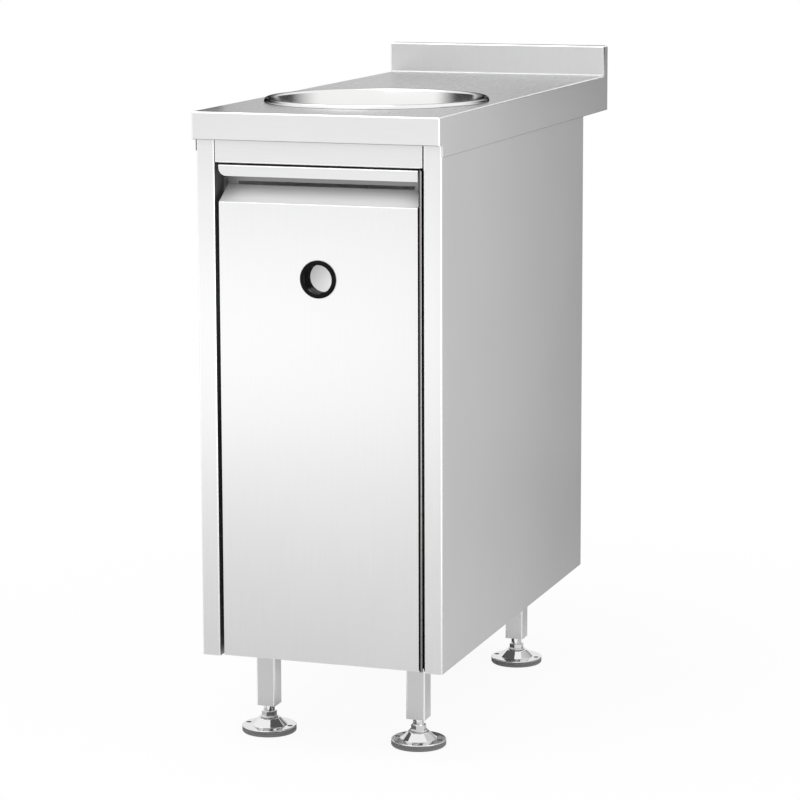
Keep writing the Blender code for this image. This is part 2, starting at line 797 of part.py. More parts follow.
def build_hinge():
    """Continuous hinge: two leaves with alternate knuckles on one long pin."""
    pitch = (DOOR_TOP - DOOR_BOTTOM) / KNUCKLE_COUNT
    bore = HINGE_PIN_RADIUS + HINGE_PIN_CLEARANCE
    leaf_out = DOOR_GAP_HINGE / 2 - SEAT
    for name, side, first in (("hinge_door_leaf", -1, 0), ("hinge_frame_leaf", 1, 1)):
        edges = sorted((side * leaf_out, side * (leaf_out - HINGE_LEAF)))
        leaf = box(
            name,
            (HINGE_X + edges[0], HINGE_Y + leaf_start(), DOOR_BOTTOM),
            (HINGE_X + edges[1], HINGE_Y + leaf_start() + HINGE_LEAF_WIDTH, DOOR_TOP),
            BRUSHED,
        )
        one = outline_solid(
            name + "_knuckles",
            knuckle_outline(side),
            pitch - KNUCKLE_GAP,
            BRUSHED,
            (bore, KNUCKLE_STEPS),
        )
        bm = bmesh.new()
        for count in range(first, KNUCKLE_COUNT, 2):
            height = DOOR_BOTTOM + pitch * (count + 0.5)
            bm.from_mesh(one.data)
            fresh = bm.verts[-len(one.data.vertices):]
            bmesh.ops.translate(bm, vec=(HINGE_X, HINGE_Y, height), verts=fresh)
        bm.to_mesh(one.data)
        bm.free()
        boolean(leaf, one, "UNION")
    cylinder(
        "hinge_pin",
        HINGE_PIN_RADIUS,
        DOOR_BOTTOM,
        DOOR_TOP,
        (HINGE_X, HINGE_Y),
        KNUCKLE_STEPS,
        POLISHED,
    )


def build_catch():
    """Magnetic catch under the rail's shelf, its strike on the door, and the floor bumpers."""
    strike_back = DOOR_BACK + SEAT + STRIKE_SIZE.y
    left = DOOR_LEFT + BODY_SHEET + GRIP_EAR_WIDTH + CATCH_FROM_FREE_EDGE
    top = RAIL_BOTTOM - SEAT
    near = strike_back + CATCH_AIR_GAP
    middle = left + CATCH_SIZE.x / 2
    strike_left = middle - STRIKE_SIZE.x / 2
    strike_top = DOOR_TOP - STRIKE_FROM_TOP
    box(
        "catch_strike",
        (strike_left, DOOR_BACK + SEAT, strike_top - STRIKE_SIZE.z),
        (strike_left + STRIKE_SIZE.x, strike_back, strike_top),
        POLISHED,
    )
    catch = box(
        "catch_magnet",
        (left, near, top - CATCH_SIZE.z),
        (left + CATCH_SIZE.x, near + CATCH_SIZE.y, top),
        BLACK,
    )
    rail = bpy.data.objects["top_rail"]
    names = ("catch_screw_left", "catch_screw_right")
    for name, side in zip(names, (-0.5, 0.5)):
        place = (middle + side * CATCH_SCREW_SPACING, near + CATCH_SIZE.y / 2)
        head = top - CATCH_SIZE.z - SEAT
        end = RAIL_BOTTOM + BODY_SHEET + SCREW_END
        hole = cylinder(
            name + "_hole",
            CATCH_SCREW_RADIUS + SEAT,
            head - OVERCUT,
            end + OVERCUT,
            place,
            STEM_STEPS,
            BLACK,
        )
        boolean(catch, hole)
        second = rail.modifiers.new(hole.name, "BOOLEAN")
        second.object = hole
        turned(
            name,
            [
                (0, end),
                (CATCH_SCREW_RADIUS, end),
                (CATCH_SCREW_RADIUS, head),
                (CATCH_SCREW_HEAD, head),
                (CATCH_SCREW_CROWN, head - CATCH_SCREW_HEAD_HEIGHT),
                (0, head - CATCH_SCREW_HEAD_HEIGHT),
            ],
            place,
            STEM_STEPS,
            POLISHED,
        )
    for name, x in (
        ("door_bumper_left", DOOR_LEFT + BUMPER_INSET),
        ("door_bumper_right", DOOR_RIGHT - BUMPER_INSET),
    ):
        bumper = cylinder(
            name,
            BUMPER_RADIUS,
            0,
            FLOOR_BEHIND_DOOR - 2 * SEAT,
            (0, 0),
            STEM_STEPS,
            RUBBER,
        )
        bumper.data.transform(FACING_FRONT)
        middle_y = DOOR_COVER_BACK + FLOOR_BEHIND_DOOR / 2
        bumper.location = (x, middle_y, FLOOR_TOP - FLOOR_LIP / 2)


def square_bar(name, half, radius, low, high, place):
    """A square steel bar with rounded corners, standing at place from low to high."""
    reach = half - radius
    points = []
    for count, (x, y) in enumerate(((reach, reach), (-reach, reach), (-reach, -reach), (reach, -reach))):
        for step in range(BEND_STEPS + 1):
            turn = math.pi / 2 * (count + step / BEND_STEPS)
            points.append((x + radius * math.cos(turn), y + radius * math.sin(turn)))
    bar = outline_solid(name, points, high - low, BRUSHED)
    bar.location = (*place, (low + high) / 2)
    return bar


def build_leg(corner, place):
    """Square tube leg with its welded plate and the threaded plug in its foot end."""
    x, y = place
    half, plate = LEG_SIZE / 2, LEG_PLATE / 2
    room = half - LEG_WALL
    plug = room - SEAT
    tube = square_bar(corner + "_leg", half, LEG_CORNER_RADIUS, LEG_BOTTOM, LEG_TOP, place)
    hollow = square_bar(
        corner + "_leg_hollow",
        room,
        LEG_CORNER_RADIUS - LEG_WALL,
        LEG_BOTTOM - OVERCUT,
        LEG_TOP + OVERCUT,
        place,
    )
    boolean(tube, hollow)
    box(
        corner + "_leg_plate",
        (x - plate, y - plate, LEG_PLATE_TOP - LEG_PLATE_THICKNESS),
        (x + plate, y + plate, LEG_PLATE_TOP),
        BRUSHED,
    )
    insert = box(
        corner + "_leg_insert",
        (x - plug, y - plug, LEG_BOTTOM),
        (x + plug, y + plug, LEG_BOTTOM + INSERT_HEIGHT),
        NYLON,
    )
    thread = cylinder(
        corner + "_thread",
        THREAD_RADIUS + STEM_CLEARANCE,
        LEG_BOTTOM - OVERCUT,
        LEG_BOTTOM + INSERT_HEIGHT + OVERCUT,
        place,
        STEM_STEPS,
        NYLON,
    )
    boolean(insert, thread)


def build_foot(corner, place):
    """Screw foot: stem with thread, shoulder, hexagon and collar, chromed base, rubber sole."""
    shoulder = LEG_BOTTOM - SEAT
    stem_top = shoulder + THREAD_LENGTH
    stem = turned(
        corner + "_foot_stem",
        [
            (0, stem_top),
            (THREAD_RADIUS, stem_top),
            (THREAD_RADIUS, shoulder),
            (SHOULDER_RADIUS, shoulder),
            (SHOULDER_RADIUS, COLLAR_TOP),
            (COLLAR_RADIUS, COLLAR_TOP),
            (COLLAR_RADIUS, COLLAR_BOTTOM),
            (SHOULDER_RADIUS, COLLAR_BOTTOM),
            (SHOULDER_RADIUS, DISC_BOTTOM),
            (0, DISC_BOTTOM),
        ],
        place,
        STEM_STEPS,
        CHROME,
    )
    corner_radius = HEX_ACROSS_FLATS / math.sqrt(3)
    sunk = COLLAR_TOP - COLLAR_HEIGHT / 2
    hexagon = cylinder(corner + "_hexagon", corner_radius, sunk, HEX_TOP, place, 6, CHROME)
    boolean(stem, hexagon, "UNION")

    socket = SHOULDER_RADIUS + STEM_CLEARANCE
    base = turned(
        corner + "_foot_base",
        [
            (socket, CONE_TOP),
            (CONE_TOP_RADIUS, CONE_TOP),
            (CONE_FOOT_RADIUS, DISC_TOP),
            (FOOT_RADIUS - DISC_EDGE / 2, DISC_TOP),
            (FOOT_RADIUS, DISC_TOP - DISC_EDGE / 2),
            (FOOT_RADIUS, DISC_BOTTOM),
            (socket, DISC_BOTTOM),
        ],
        place,
        FOOT_STEPS,
        CHROME,
        closed=True,
    )
    for side in (-1, 1):
        hole = cylinder(
            f"{corner}_foot_hole_{side}",
            FOOT_HOLE_RADIUS,
            DISC_BOTTOM - OVERCUT,
            DISC_TOP + OVERCUT,
            (place[0] + side * FOOT_HOLE_CIRCLE, place[1]),
            STEM_STEPS,
            CHROME,
        )
        boolean(base, hole)
    turned(
        corner + "_foot_sole",
        [
            (0, SOLE_HEIGHT),
            (FOOT_RADIUS, SOLE_HEIGHT),
            (FOOT_RADIUS, SOLE_HEIGHT / 3),
            (FOOT_RADIUS - SOLE_HEIGHT / 3, 0),
            (0, 0),
        ],
        place,
        FOOT_STEPS,
        RUBBER,
    )


def hang_door():
    """Puts the door's pieces on an empty that stands on the hinge's axis."""
    pivot = bpy.data.objects.new("door_pivot", None)
    pivot.location = (HINGE_X, HINGE_Y, DOOR_BOTTOM)
    PARTS.objects.link(pivot)
    back = Matrix.Translation(pivot.location).inverted()
    for name in DOOR_PIECES:
        piece = bpy.data.objects[name]
        piece.parent = pivot
        piece.matrix_parent_inverse = back


build_worktop()
build_stiffeners()
build_drop()
build_cabinet()
build_door()
build_port()
build_hinge()
build_catch()
hang_door()
for leg_corner, leg_place in LEG_PLACES.items():
    build_leg(leg_corner, leg_place)
    build_foot(leg_corner, leg_place)
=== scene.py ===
"""A stainless waste-drop cabinet from a bar run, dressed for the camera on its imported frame."""

import json
import math

import bmesh
import bpy
from mathutils import Matrix, Vector

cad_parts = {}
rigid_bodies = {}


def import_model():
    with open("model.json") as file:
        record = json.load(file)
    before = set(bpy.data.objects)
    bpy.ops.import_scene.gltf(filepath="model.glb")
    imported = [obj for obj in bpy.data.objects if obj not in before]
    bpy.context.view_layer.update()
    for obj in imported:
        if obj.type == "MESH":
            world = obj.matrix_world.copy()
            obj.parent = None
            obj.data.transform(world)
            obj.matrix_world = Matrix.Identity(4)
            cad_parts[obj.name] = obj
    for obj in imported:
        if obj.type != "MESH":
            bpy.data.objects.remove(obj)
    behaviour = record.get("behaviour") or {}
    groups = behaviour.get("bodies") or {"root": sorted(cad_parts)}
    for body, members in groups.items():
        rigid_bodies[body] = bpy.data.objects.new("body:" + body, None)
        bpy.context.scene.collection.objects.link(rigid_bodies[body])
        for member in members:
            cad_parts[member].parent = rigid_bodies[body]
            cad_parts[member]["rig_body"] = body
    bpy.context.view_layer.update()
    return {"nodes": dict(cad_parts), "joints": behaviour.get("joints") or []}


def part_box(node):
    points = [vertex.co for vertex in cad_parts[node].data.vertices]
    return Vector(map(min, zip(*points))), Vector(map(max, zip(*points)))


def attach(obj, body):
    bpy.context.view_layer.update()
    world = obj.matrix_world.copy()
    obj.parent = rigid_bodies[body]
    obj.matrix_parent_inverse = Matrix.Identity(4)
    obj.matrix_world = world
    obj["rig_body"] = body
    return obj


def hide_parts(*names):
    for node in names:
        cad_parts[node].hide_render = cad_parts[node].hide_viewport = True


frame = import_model()

# The cabinet's two side panels, each one brushed stainless sheet folded into a front stile,
# the side and a rear return. The grain runs up the sheet, and the cut edges are deburred.
MM = 0.001
DEBURR = 0.22 * MM
TOUCHING = 0.001 * MM
FLAT = math.radians(0.3)
SHARP = math.radians(50)
SMOOTH = math.radians(40)


def whole_copy(node):
    """A CAD solid as a working mesh, its triangles joined into whole faces."""
    bm = bmesh.new()
    bm.from_mesh(frame["nodes"][node].data)
    bmesh.ops.remove_doubles(bm, verts=bm.verts, dist=TOUCHING)
    bmesh.ops.dissolve_limit(bm, angle_limit=FLAT, verts=bm.verts, edges=bm.edges)
    return bm


def deburr(bm, size):
    """Rounds every sharp edge a little, as a file leaves it."""
    sharp = [edge for edge in bm.edges if edge.is_manifold and edge.calc_face_angle() > SHARP]
    bmesh.ops.bevel(
        bm, geom=sharp, offset=size, segments=3, profile=0.5, affect="EDGES", clamp_overlap=True
    )
    return bm


def stand_in(name, bm, material, node):
    """Makes a finished mesh the piece that stands for a CAD node, with even shading on its flats."""
    mesh = bpy.data.meshes.new(name)
    bm.to_mesh(mesh)
    bm.free()
    mesh.materials.append(material)
    mesh.shade_smooth()
    mesh.set_sharp_from_angle(angle=SMOOTH)
    piece = bpy.data.objects.new(name, mesh)
    bpy.context.scene.collection.objects.link(piece)
    even = piece.modifiers.new("even_normals", "WEIGHTED_NORMAL")
    even.keep_sharp = True
    graph = bpy.context.evaluated_depsgraph_get()
    piece.data = bpy.data.meshes.new_from_object(piece.evaluated_get(graph))
    piece.modifiers.clear()
    bpy.data.meshes.remove(mesh)
    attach(piece, frame["nodes"][node]["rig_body"])
    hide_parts(node)
    return piece


def dressed(node, ending, edge, material):
    """The piece for a CAD node whose solid needs only softened edges and a finish."""
    return stand_in(f"{node}_{ending}", deburr(whole_copy(node), edge), material, node)


def wire(tree, source, output, target, socket):
    """Joins a node's named output to another node's named input."""
    tree.links.new(source.outputs[output], target.inputs[socket])


def reckoned(tree, operation, *terms):
    """The result of one operation on plain numbers and on sockets that vary over the surface."""
    node = tree.nodes.new("ShaderNodeMath")
    node.operation = operation
    for socket, term in zip(node.inputs, terms):
        if isinstance(term, bpy.types.NodeSocket):
            tree.links.new(term, socket)
        else:
            socket.default_value = term
    return node.outputs["Value"]


def ranged(tree, value, start, end, kind="LINEAR"):
    """A value mapped so that start's first number becomes its second, and end's likewise."""
    node = tree.nodes.new("ShaderNodeMapRange")
    node.interpolation_type = kind
    node.inputs["From Min"].default_value, node.inputs["To Min"].default_value = start
    node.inputs["From Max"].default_value, node.inputs["To Max"].default_value = end
    tree.links.new(value, node.inputs["Value"])
    return node.outputs["Result"]


def make_grain_group():
    """Long fine scratches of a brushing belt, and the faint clouds that cleaning leaves."""
    group = bpy.data.node_groups.new("brushed_grain", "ShaderNodeTree")
    sockets = group.interface
    sockets.new_socket("Vector", in_out="INPUT", socket_type="NodeSocketVector")
    sockets.new_socket("Stretch", in_out="INPUT", socket_type="NodeSocketVector")
    sockets.new_socket("Scratch", in_out="OUTPUT", socket_type="NodeSocketFloat")
    sockets.new_socket("Cloud", in_out="OUTPUT", socket_type="NodeSocketFloat")
    inlet = group.nodes.new("NodeGroupInput")
    outlet = group.nodes.new("NodeGroupOutput")
    stretched = group.nodes.new("ShaderNodeVectorMath")
    stretched.operation = "MULTIPLY"
    wire(group, inlet, "Vector", stretched, 0)
    wire(group, inlet, "Stretch", stretched, 1)
    fine = group.nodes.new("ShaderNodeTexNoise")
    fine.inputs["Scale"].default_value = 1.0
    fine.inputs["Detail"].default_value = 3.0
    fine.inputs["Roughness"].default_value = 0.65
    wire(group, stretched, "Vector", fine, "Vector")
    cloud = group.nodes.new("ShaderNodeTexNoise")
    cloud.inputs["Scale"].default_value = 5.5
    cloud.inputs["Detail"].default_value = 2.0
    wire(group, inlet, "Vector", cloud, "Vector")
    wire(group, fine, "Fac", outlet, "Scratch")
    wire(group, cloud, "Fac", outlet, "Cloud")
    return group


grain_group = make_grain_group()
NOISE_LOW, NOISE_HIGH = 0.25, 0.75


def blend_of(tree, factor, low, high):
    """A value between low and high by a factor that varies over the surface."""
    return ranged(tree, factor, (NOISE_LOW, low), (NOISE_HIGH, high))


def grey_between(tree, factor, dark, light):
    """A colour between a dark grey and a light one by a factor that varies over the surface."""
    ramp = tree.nodes.new("ShaderNodeValToRGB")
    dark_end, light_end = ramp.color_ramp.elements
    dark_end.position, light_end.position = NOISE_LOW, NOISE_HIGH
    dark_end.color, light_end.color = (*dark, 1.0), (*light, 1.0)
    tree.links.new(factor, ramp.inputs["Fac"])
    return ramp.outputs["Color"]


def grained_material(name, stretch):
    """A new material, its tree and shader, and the grain laid on it in the piece's own coordinates."""
    material = bpy.data.materials.new(name)
    material.use_nodes = True
    tree = material.node_tree
    place = tree.nodes.new("ShaderNodeTexCoord")
    grain = tree.nodes.new("ShaderNodeGroup")
    grain.node_tree = grain_group
    grain.inputs["Stretch"].default_value = stretch
    wire(tree, place, "Object", grain, "Vector")
    return material, tree, tree.nodes["Principled BSDF"], grain


def scratch_bump(tree, shader, grain, strength, depth):
    """Raises the grain's scratches on the surface."""
    bump = tree.nodes.new("ShaderNodeBump")
    bump.inputs["Strength"].default_value = strength
    bump.inputs["Distance"].default_value = depth
    wire(tree, grain, "Scratch", bump, "Height")
    wire(tree, bump, "Normal", shader, "Normal")


UPRIGHT_GRAIN, LEVEL_GRAIN, DEEP_GRAIN = (900, 900, 14), (14, 900, 900), (900, 14, 900)
STEEL_DARK, STEEL_LIGHT = (0.735, 0.738, 0.736), (0.785, 0.788, 0.786)
SATIN = (0.33, 0.43)
CLOUD_SHARE, SCRATCH_SHARE = 0.35, 0.65


def brushed_sheet(name, stretch, dark=STEEL_DARK, light=STEEL_LIGHT, gloss=SATIN, edge=1.0):
    """Brushed stainless sheet whose grain runs along the axis that is stretched least."""
    material, tree, shader, grain = grained_material(name, stretch)
    shader.inputs["Metallic"].default_value = 1.0
    shader.inputs["Specular Tint"].default_value = (edge, edge, edge, 1.0)
    scratches = reckoned(tree, "MULTIPLY", grain.outputs["Scratch"], SCRATCH_SHARE)
    marks = reckoned(tree, "MULTIPLY_ADD", grain.outputs["Cloud"], CLOUD_SHARE, scratches)
    tree.links.new(grey_between(tree, marks, dark, light), shader.inputs["Base Color"])
    tree.links.new(blend_of(tree, marks, *gloss), shader.inputs["Roughness"])
    scratch_bump(tree, shader, grain, strength=0.06, depth=0.05 * MM)
    return material


upright_sheet = brushed_sheet("brushed_sheet_upright", UPRIGHT_GRAIN)
# A lighter, glossier steel laid on bends and rounded edges, as painted highlight lines.
painted_highlight_bend = brushed_sheet(
    "burnished_bend", (300, 300, 300), (0.90, 0.90, 0.90), (0.96, 0.96, 0.96), (0.22, 0.30)
)
# A dark grey steel laid on faces in gaps, recesses and undersides, as painted shade.
painted_shade_sheet = brushed_sheet(
    "dull_mill_sheet", (700, 700, 700), (0.17, 0.17, 0.17), (0.23, 0.23, 0.23), (0.45, 0.55)
)
SQUARE_ON = 0.985
MAINLY = 0.9
STRIP_AREA = 0.002


def finish_faces(piece, material, chosen):
    """Gives one finish to the faces of a piece that chosen picks."""
    piece.data.materials.append(material)
    place = len(piece.data.materials) - 1
    for face in piece.data.polygons:
        if chosen(face):
            face.material_index = place


def is_bend(face):
    """True for the narrow faces of a bend or a rounded edge."""
    return max(abs(part) for part in face.normal) < SQUARE_ON and face.area < STRIP_AREA


STILE_RETURN = 135 * MM
RETURN_ROOM = 3 * MM
BEHIND_DOOR = 5 * MM
gap_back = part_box("door_outer_skin")[1].y + BEHIND_DOOR


def is_stile_return(face):
    """True for the faces of a stile's inner edge, in the gap beside the door."""
    on_return = abs(abs(face.center.x) - STILE_RETURN) < RETURN_ROOM
    return abs(face.normal.x) > MAINLY and on_return and face.center.y < gap_back


for side in ("left", "right"):
    panel = dressed(f"{side}_side_panel", "sheet", DEBURR, upright_sheet)
    # The bends get painted highlight lines, and the stile returns in the gap beside the door painted shade.
    finish_faces(panel, painted_highlight_bend, is_bend)
    finish_faces(panel, painted_shade_sheet, is_stile_return)

# The rest of the carcass: back panel and floor pan, and the rails that tie the sides together.
# All are the same sheet with the grain along their length, spot welded to the side panels.
level_sheet = brushed_sheet(
    "brushed_sheet_level", LEVEL_GRAIN, (0.715, 0.718, 0.716), (0.763, 0.766, 0.764)
)
for node in ("top_rail", "rear_tie_rail", "front_stiffener", "rear_stiffener"):
    rail = dressed(node, "sheet", DEBURR, level_sheet)
    # The bends get painted highlight lines, and the top rail's underside painted shade.
    finish_faces(rail, painted_highlight_bend, is_bend)
    if node == "top_rail":
        finish_faces(rail, painted_shade_sheet, lambda face: face.normal.z < -MAINLY)
deep_sheet = brushed_sheet("brushed_sheet_deep", DEEP_GRAIN)
dressed("back_panel", "sheet", DEBURR, upright_sheet)
dressed("floor_pan", "sheet", DEBURR, deep_sheet)

# The worktop: one heavier sheet folded down into aprons and up into the closed upstand, its corners
# welded and ground flush. The grain runs from front to back, and the folds keep a small radius.
worktop_sheet = brushed_sheet(
    "brushed_sheet_worktop", DEEP_GRAIN, (0.725, 0.728, 0.726), (0.772, 0.775, 0.773), (0.24, 0.31), 0.75
)
# The upstand's face is the worktop's own sheet painted a darker grey, as painted shade.
upstand_painted_shade_sheet = brushed_sheet(
    "brushed_sheet_upstand", UPRIGHT_GRAIN, (0.65, 0.653, 0.651), (0.70, 0.703, 0.701)
)
ground_sheet = brushed_sheet("brushed_sheet_ground", LEVEL_GRAIN, gloss=(0.60, 0.70))
APRON_ROUND = 0.9 * MM
APRON_FOOT = 20 * MM
LONG_EDGE = 50 * MM
HAIR = 0.1 * MM
UPSTAND_DEPTH, UPSTAND_HEIGHT = 20 * MM, 42 * MM
UPSTAND_ROOM = 10 * MM
WELD_REACH = 6 * MM
DOWNWARD = -0.15
low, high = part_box("worktop")
apron_line = low.z + APRON_FOOT
bm = whole_copy("worktop")
apron_edges = []
for edge in bm.edges:
    one, other = (corner.co for corner in edge.verts)
    middle = (one + other) / 2
    outside = abs(middle.x) > high.x - HAIR or abs(middle.y) > high.y - HAIR
    level = abs(one.z - other.z) < HAIR
    if outside and level and middle.z < apron_line and edge.calc_length() > LONG_EDGE:
        apron_edges.append(edge)
bmesh.ops.bevel(bm, geom=apron_edges, offset=APRON_ROUND, segments=4, profile=0.5, affect="EDGES")
worktop = stand_in("worktop_sheet", deburr(bm, DEBURR), worktop_sheet, "worktop")
upstand_foot = Vector((0, high.y - UPSTAND_DEPTH, high.z - UPSTAND_HEIGHT))
upstand_front = upstand_foot.y - UPSTAND_ROOM


def is_upstand_weld(face):
    """True for the inner bend where the upstand rises from the worktop."""
    away = face.center - upstand_foot
    return is_bend(face) and abs(away.y) + abs(away.z) < WELD_REACH


finish_faces(worktop, deep_sheet, lambda face: abs(face.normal.x) > SQUARE_ON)
finish_faces(worktop, level_sheet, lambda face: face.normal.y < -SQUARE_ON and face.center.y < 0)
# The bends get painted highlight lines, and the apron's undersides painted shade.
finish_faces(worktop, painted_highlight_bend, is_bend)
finish_faces(worktop, painted_shade_sheet, lambda face: face.normal.z < DOWNWARD and face.center.z < apron_line)
# The upstand's face gets the darker grey as painted shade.
finish_faces(
    worktop, upstand_painted_shade_sheet, lambda face: face.normal.y < -SQUARE_ON and face.center.y > upstand_front
)
finish_faces(worktop, ground_sheet, is_upstand_weld)

# The drop ring: a polished steel collar with a rolled bead, turned and buffed to a mirror.
# A flat ring welded on from below holds it in the worktop.
RING_STEPS = 180
SAME_POINT = 0.0001 * MM
CORNER_SHARE = 0.45


def lathe(profile, centre, steps):
    """A turned closed ring about an upright axis. profile holds (radius, height) all round its section."""
    bm = bmesh.new()
    rings = []
    for count in range(steps):
        turn = math.tau * count / steps
        ahead = Vector((math.cos(turn), math.sin(turn), 0))
        rings.append([
            bm.verts.new(centre + ahead * radius + Vector((0, 0, height))) for radius, height in profile
        ])
    for here, there in zip(rings, [*rings[1:], rings[0]]):
        for spot, after in zip(range(len(profile)), [*range(1, len(profile)), 0]):
            bm.faces.new((here[spot], there[spot], there[after], here[after]))
    bmesh.ops.remove_doubles(bm, verts=bm.verts, dist=SAME_POINT)
    bmesh.ops.dissolve_degenerate(bm, edges=bm.edges, dist=SAME_POINT)
    bmesh.ops.recalc_face_normals(bm, faces=bm.faces)
    return bm


def rounded(corners, radius, steps=4):
    """A closed outline with each corner turned into a small arc."""
    outline = []
    for before, corner, after in zip([corners[-1], *corners[:-1]], corners, [*corners[1:], corners[0]]):
        corner = Vector(corner)
        back, ahead = Vector(before) - corner, Vector(after) - corner
        reach = min(radius, CORNER_SHARE * back.length, CORNER_SHARE * ahead.length)
        start, end = corner + back.normalized() * reach, corner + ahead.normalized() * reach
        for step in range(steps + 1):
            share = step / steps
            point = start.lerp(corner, share).lerp(corner.lerp(end, share), share)
            outline.append((point.x, point.y))
    return outline


def clouded_colour(tree, shader, grain, colour, clouding):
    """Gives the shader a colour that the grain's clouds darken to a share of it."""
    darker = tuple(clouding * part for part in colour)
    tone = grey_between(tree, grain.outputs["Cloud"], darker, colour)
    tree.links.new(tone, shader.inputs["Base Color"])


def scratched_gloss(tree, shader, grain, smoothest, roughest):
    """Gives the shader a roughness that follows the grain's scratches."""
    tree.links.new(blend_of(tree, grain.outputs["Scratch"], smoothest, roughest), shader.inputs["Roughness"])


def polished_metal(name, colour, roughness, stretch, edge=1.0):
    """Buffed metal with a trace of the buffing lines in its gloss."""
    material, tree, shader, grain = grained_material(name, stretch)
    shader.inputs["Metallic"].default_value = 1.0
    shader.inputs["Specular Tint"].default_value = (edge, edge, edge, 1.0)
    clouded_colour(tree, shader, grain, colour, clouding=0.94)
    scratched_gloss(tree, shader, grain, smoothest=0.75 * roughness, roughest=1.35 * roughness)
    return material


mirror_steel = polished_metal("mirror_polished_steel", (0.92, 0.92, 0.915), 0.15, (60, 60, 1600), 0.0)
BEAD_WIDTH, BEAD_HEIGHT, BEAD_STEPS = 6.8 * MM, 5 * MM, 20
COLLAR_SHEET = 1.2 * MM
FUNNEL = 5.8 * MM
MOUTH, MOUTH_DEPTH = 5.0 * MM, 25 * MM
SEAT_GAP = 0.3 * MM
SMALL_ROUND = 0.3 * MM
low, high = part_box("drop_rim")
ring_centre = Vector(((low.x + high.x) / 2, (low.y + high.y) / 2, 0))
bead_out = (high.x - low.x) / 2
collar_in = bead_out - BEAD_WIDTH
collar_out = collar_in + COLLAR_SHEET
bead_foot = high.z - BEAD_HEIGHT + SEAT_GAP
bead_middle = (bead_out + collar_in) / 2
ring_section = []
for step in range(1, BEAD_STEPS + 1):
    turn = math.pi * step / BEAD_STEPS
    ring_section.append((
        bead_middle - BEAD_WIDTH / 2 * math.cos(turn),
        bead_foot + (high.z - bead_foot) * math.sin(turn),
    ))
mouth_end = bead_foot - MOUTH_DEPTH
ring_section += [
    (collar_out, bead_foot),
    (collar_out - MOUTH, mouth_end),
    (collar_out - FUNNEL, low.z),
    (collar_in - FUNNEL, low.z),
    (collar_in - MOUTH, mouth_end),
]
ring = lathe(ring_section, ring_centre, RING_STEPS)
stand_in("drop_rim_ring", ring, mirror_steel, "drop_rim")
low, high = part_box("drop_retainer")
retainer_out = (high.x - low.x) / 2
retainer_in = collar_out + SEAT_GAP
flat_ring = [(retainer_in, high.z), (retainer_out, high.z), (retainer_out, low.z), (retainer_in, low.z)]
retainer = lathe(rounded(flat_ring, SMALL_ROUND), ring_centre, RING_STEPS)
stand_in("drop_retainer_ring", retainer, level_sheet, "drop_retainer")

# The door: an outer pan whose top slopes back under the fingers, a flat cover behind it, and a folded
# strip above the finger gap. Brushed sheet with the grain upright, the pan's corners welded and ground.
SLOPE_LOW, SLOPE_HIGH = 0.6, 0.95
GRIP_FOLD = 20 * MM


def is_finger_slope(face):
    """True for the wide face at the pan's top that leans back under the fingers."""
    return SLOPE_LOW < face.normal.z < SLOPE_HIGH and face.area > STRIP_AREA


door_pan = dressed("door_outer_skin", "sheet", DEBURR, upright_sheet)
# Its bends get painted highlight lines.
finish_faces(door_pan, painted_highlight_bend, is_bend)
finish_faces(door_pan, ground_sheet, is_finger_slope)
door_cover = dressed("door_inner_skin", "sheet", DEBURR, upright_sheet)
# The cover's front faces, seen through the finger gap, get painted shade.
finish_faces(door_cover, painted_shade_sheet, lambda face: face.normal.y < -MAINLY)
grip = dressed("door_grip_channel", "sheet", DEBURR, level_sheet)
grip_low, grip_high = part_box("door_grip_channel")


def is_inside_grip(face):
    """True for the channel's inner faces around the finger gap, which get painted shade."""
    rear_leg = face.normal.y < -MAINLY and face.center.y > grip_low.y + GRIP_FOLD
    front_leg = face.normal.y > MAINLY and face.center.y < grip_high.y - GRIP_FOLD
    return face.normal.z < -MAINLY or rear_leg or front_leg


# The bends get painted highlight lines, and the inner faces painted shade.
finish_faces(grip, painted_highlight_bend, is_bend)
finish_faces(grip, painted_shade_sheet, is_inside_grip)

# The port in the door: a moulded black liner with a rounded flange and shallow rings in its bore,
# held from behind by a moulded nut.
PORT_STEPS = 96
BORE, SLEEVE = 17.9 * MM, 19.7 * MM
BORE_ROOM = 0.2 * MM
LEAD_IN = 1.0 * MM
FLANGE_THICK = 2.4 * MM
FLANGE_SLOPE_IN, FLANGE_SLOPE_DOWN = 1.7 * MM, 1.3 * MM
RIDGE_COUNT, RIDGE_HEIGHT = 4, 0.7 * MM
RIDGE_SHARE = 0.7
RIDGE_MARGIN = 3 * MM
MOULD_ROUND = 0.5 * MM
NUT_CLEARANCE = 0.3 * MM


def moulded_plastic(name, colour, roughness, bump_size, gloss=0.5):
    """Moulded plastic or rubber with the fine skin of its mould."""
    material, tree, shader, grain = grained_material(name, (1400, 1400, 1400))
    shader.inputs["Specular IOR Level"].default_value = gloss
    clouded_colour(tree, shader, grain, colour, clouding=0.8)
    scratched_gloss(tree, shader, grain, smoothest=0.8 * roughness, roughest=1.2 * roughness)
    scratch_bump(tree, shader, grain, strength=0.2, depth=bump_size)
    return material


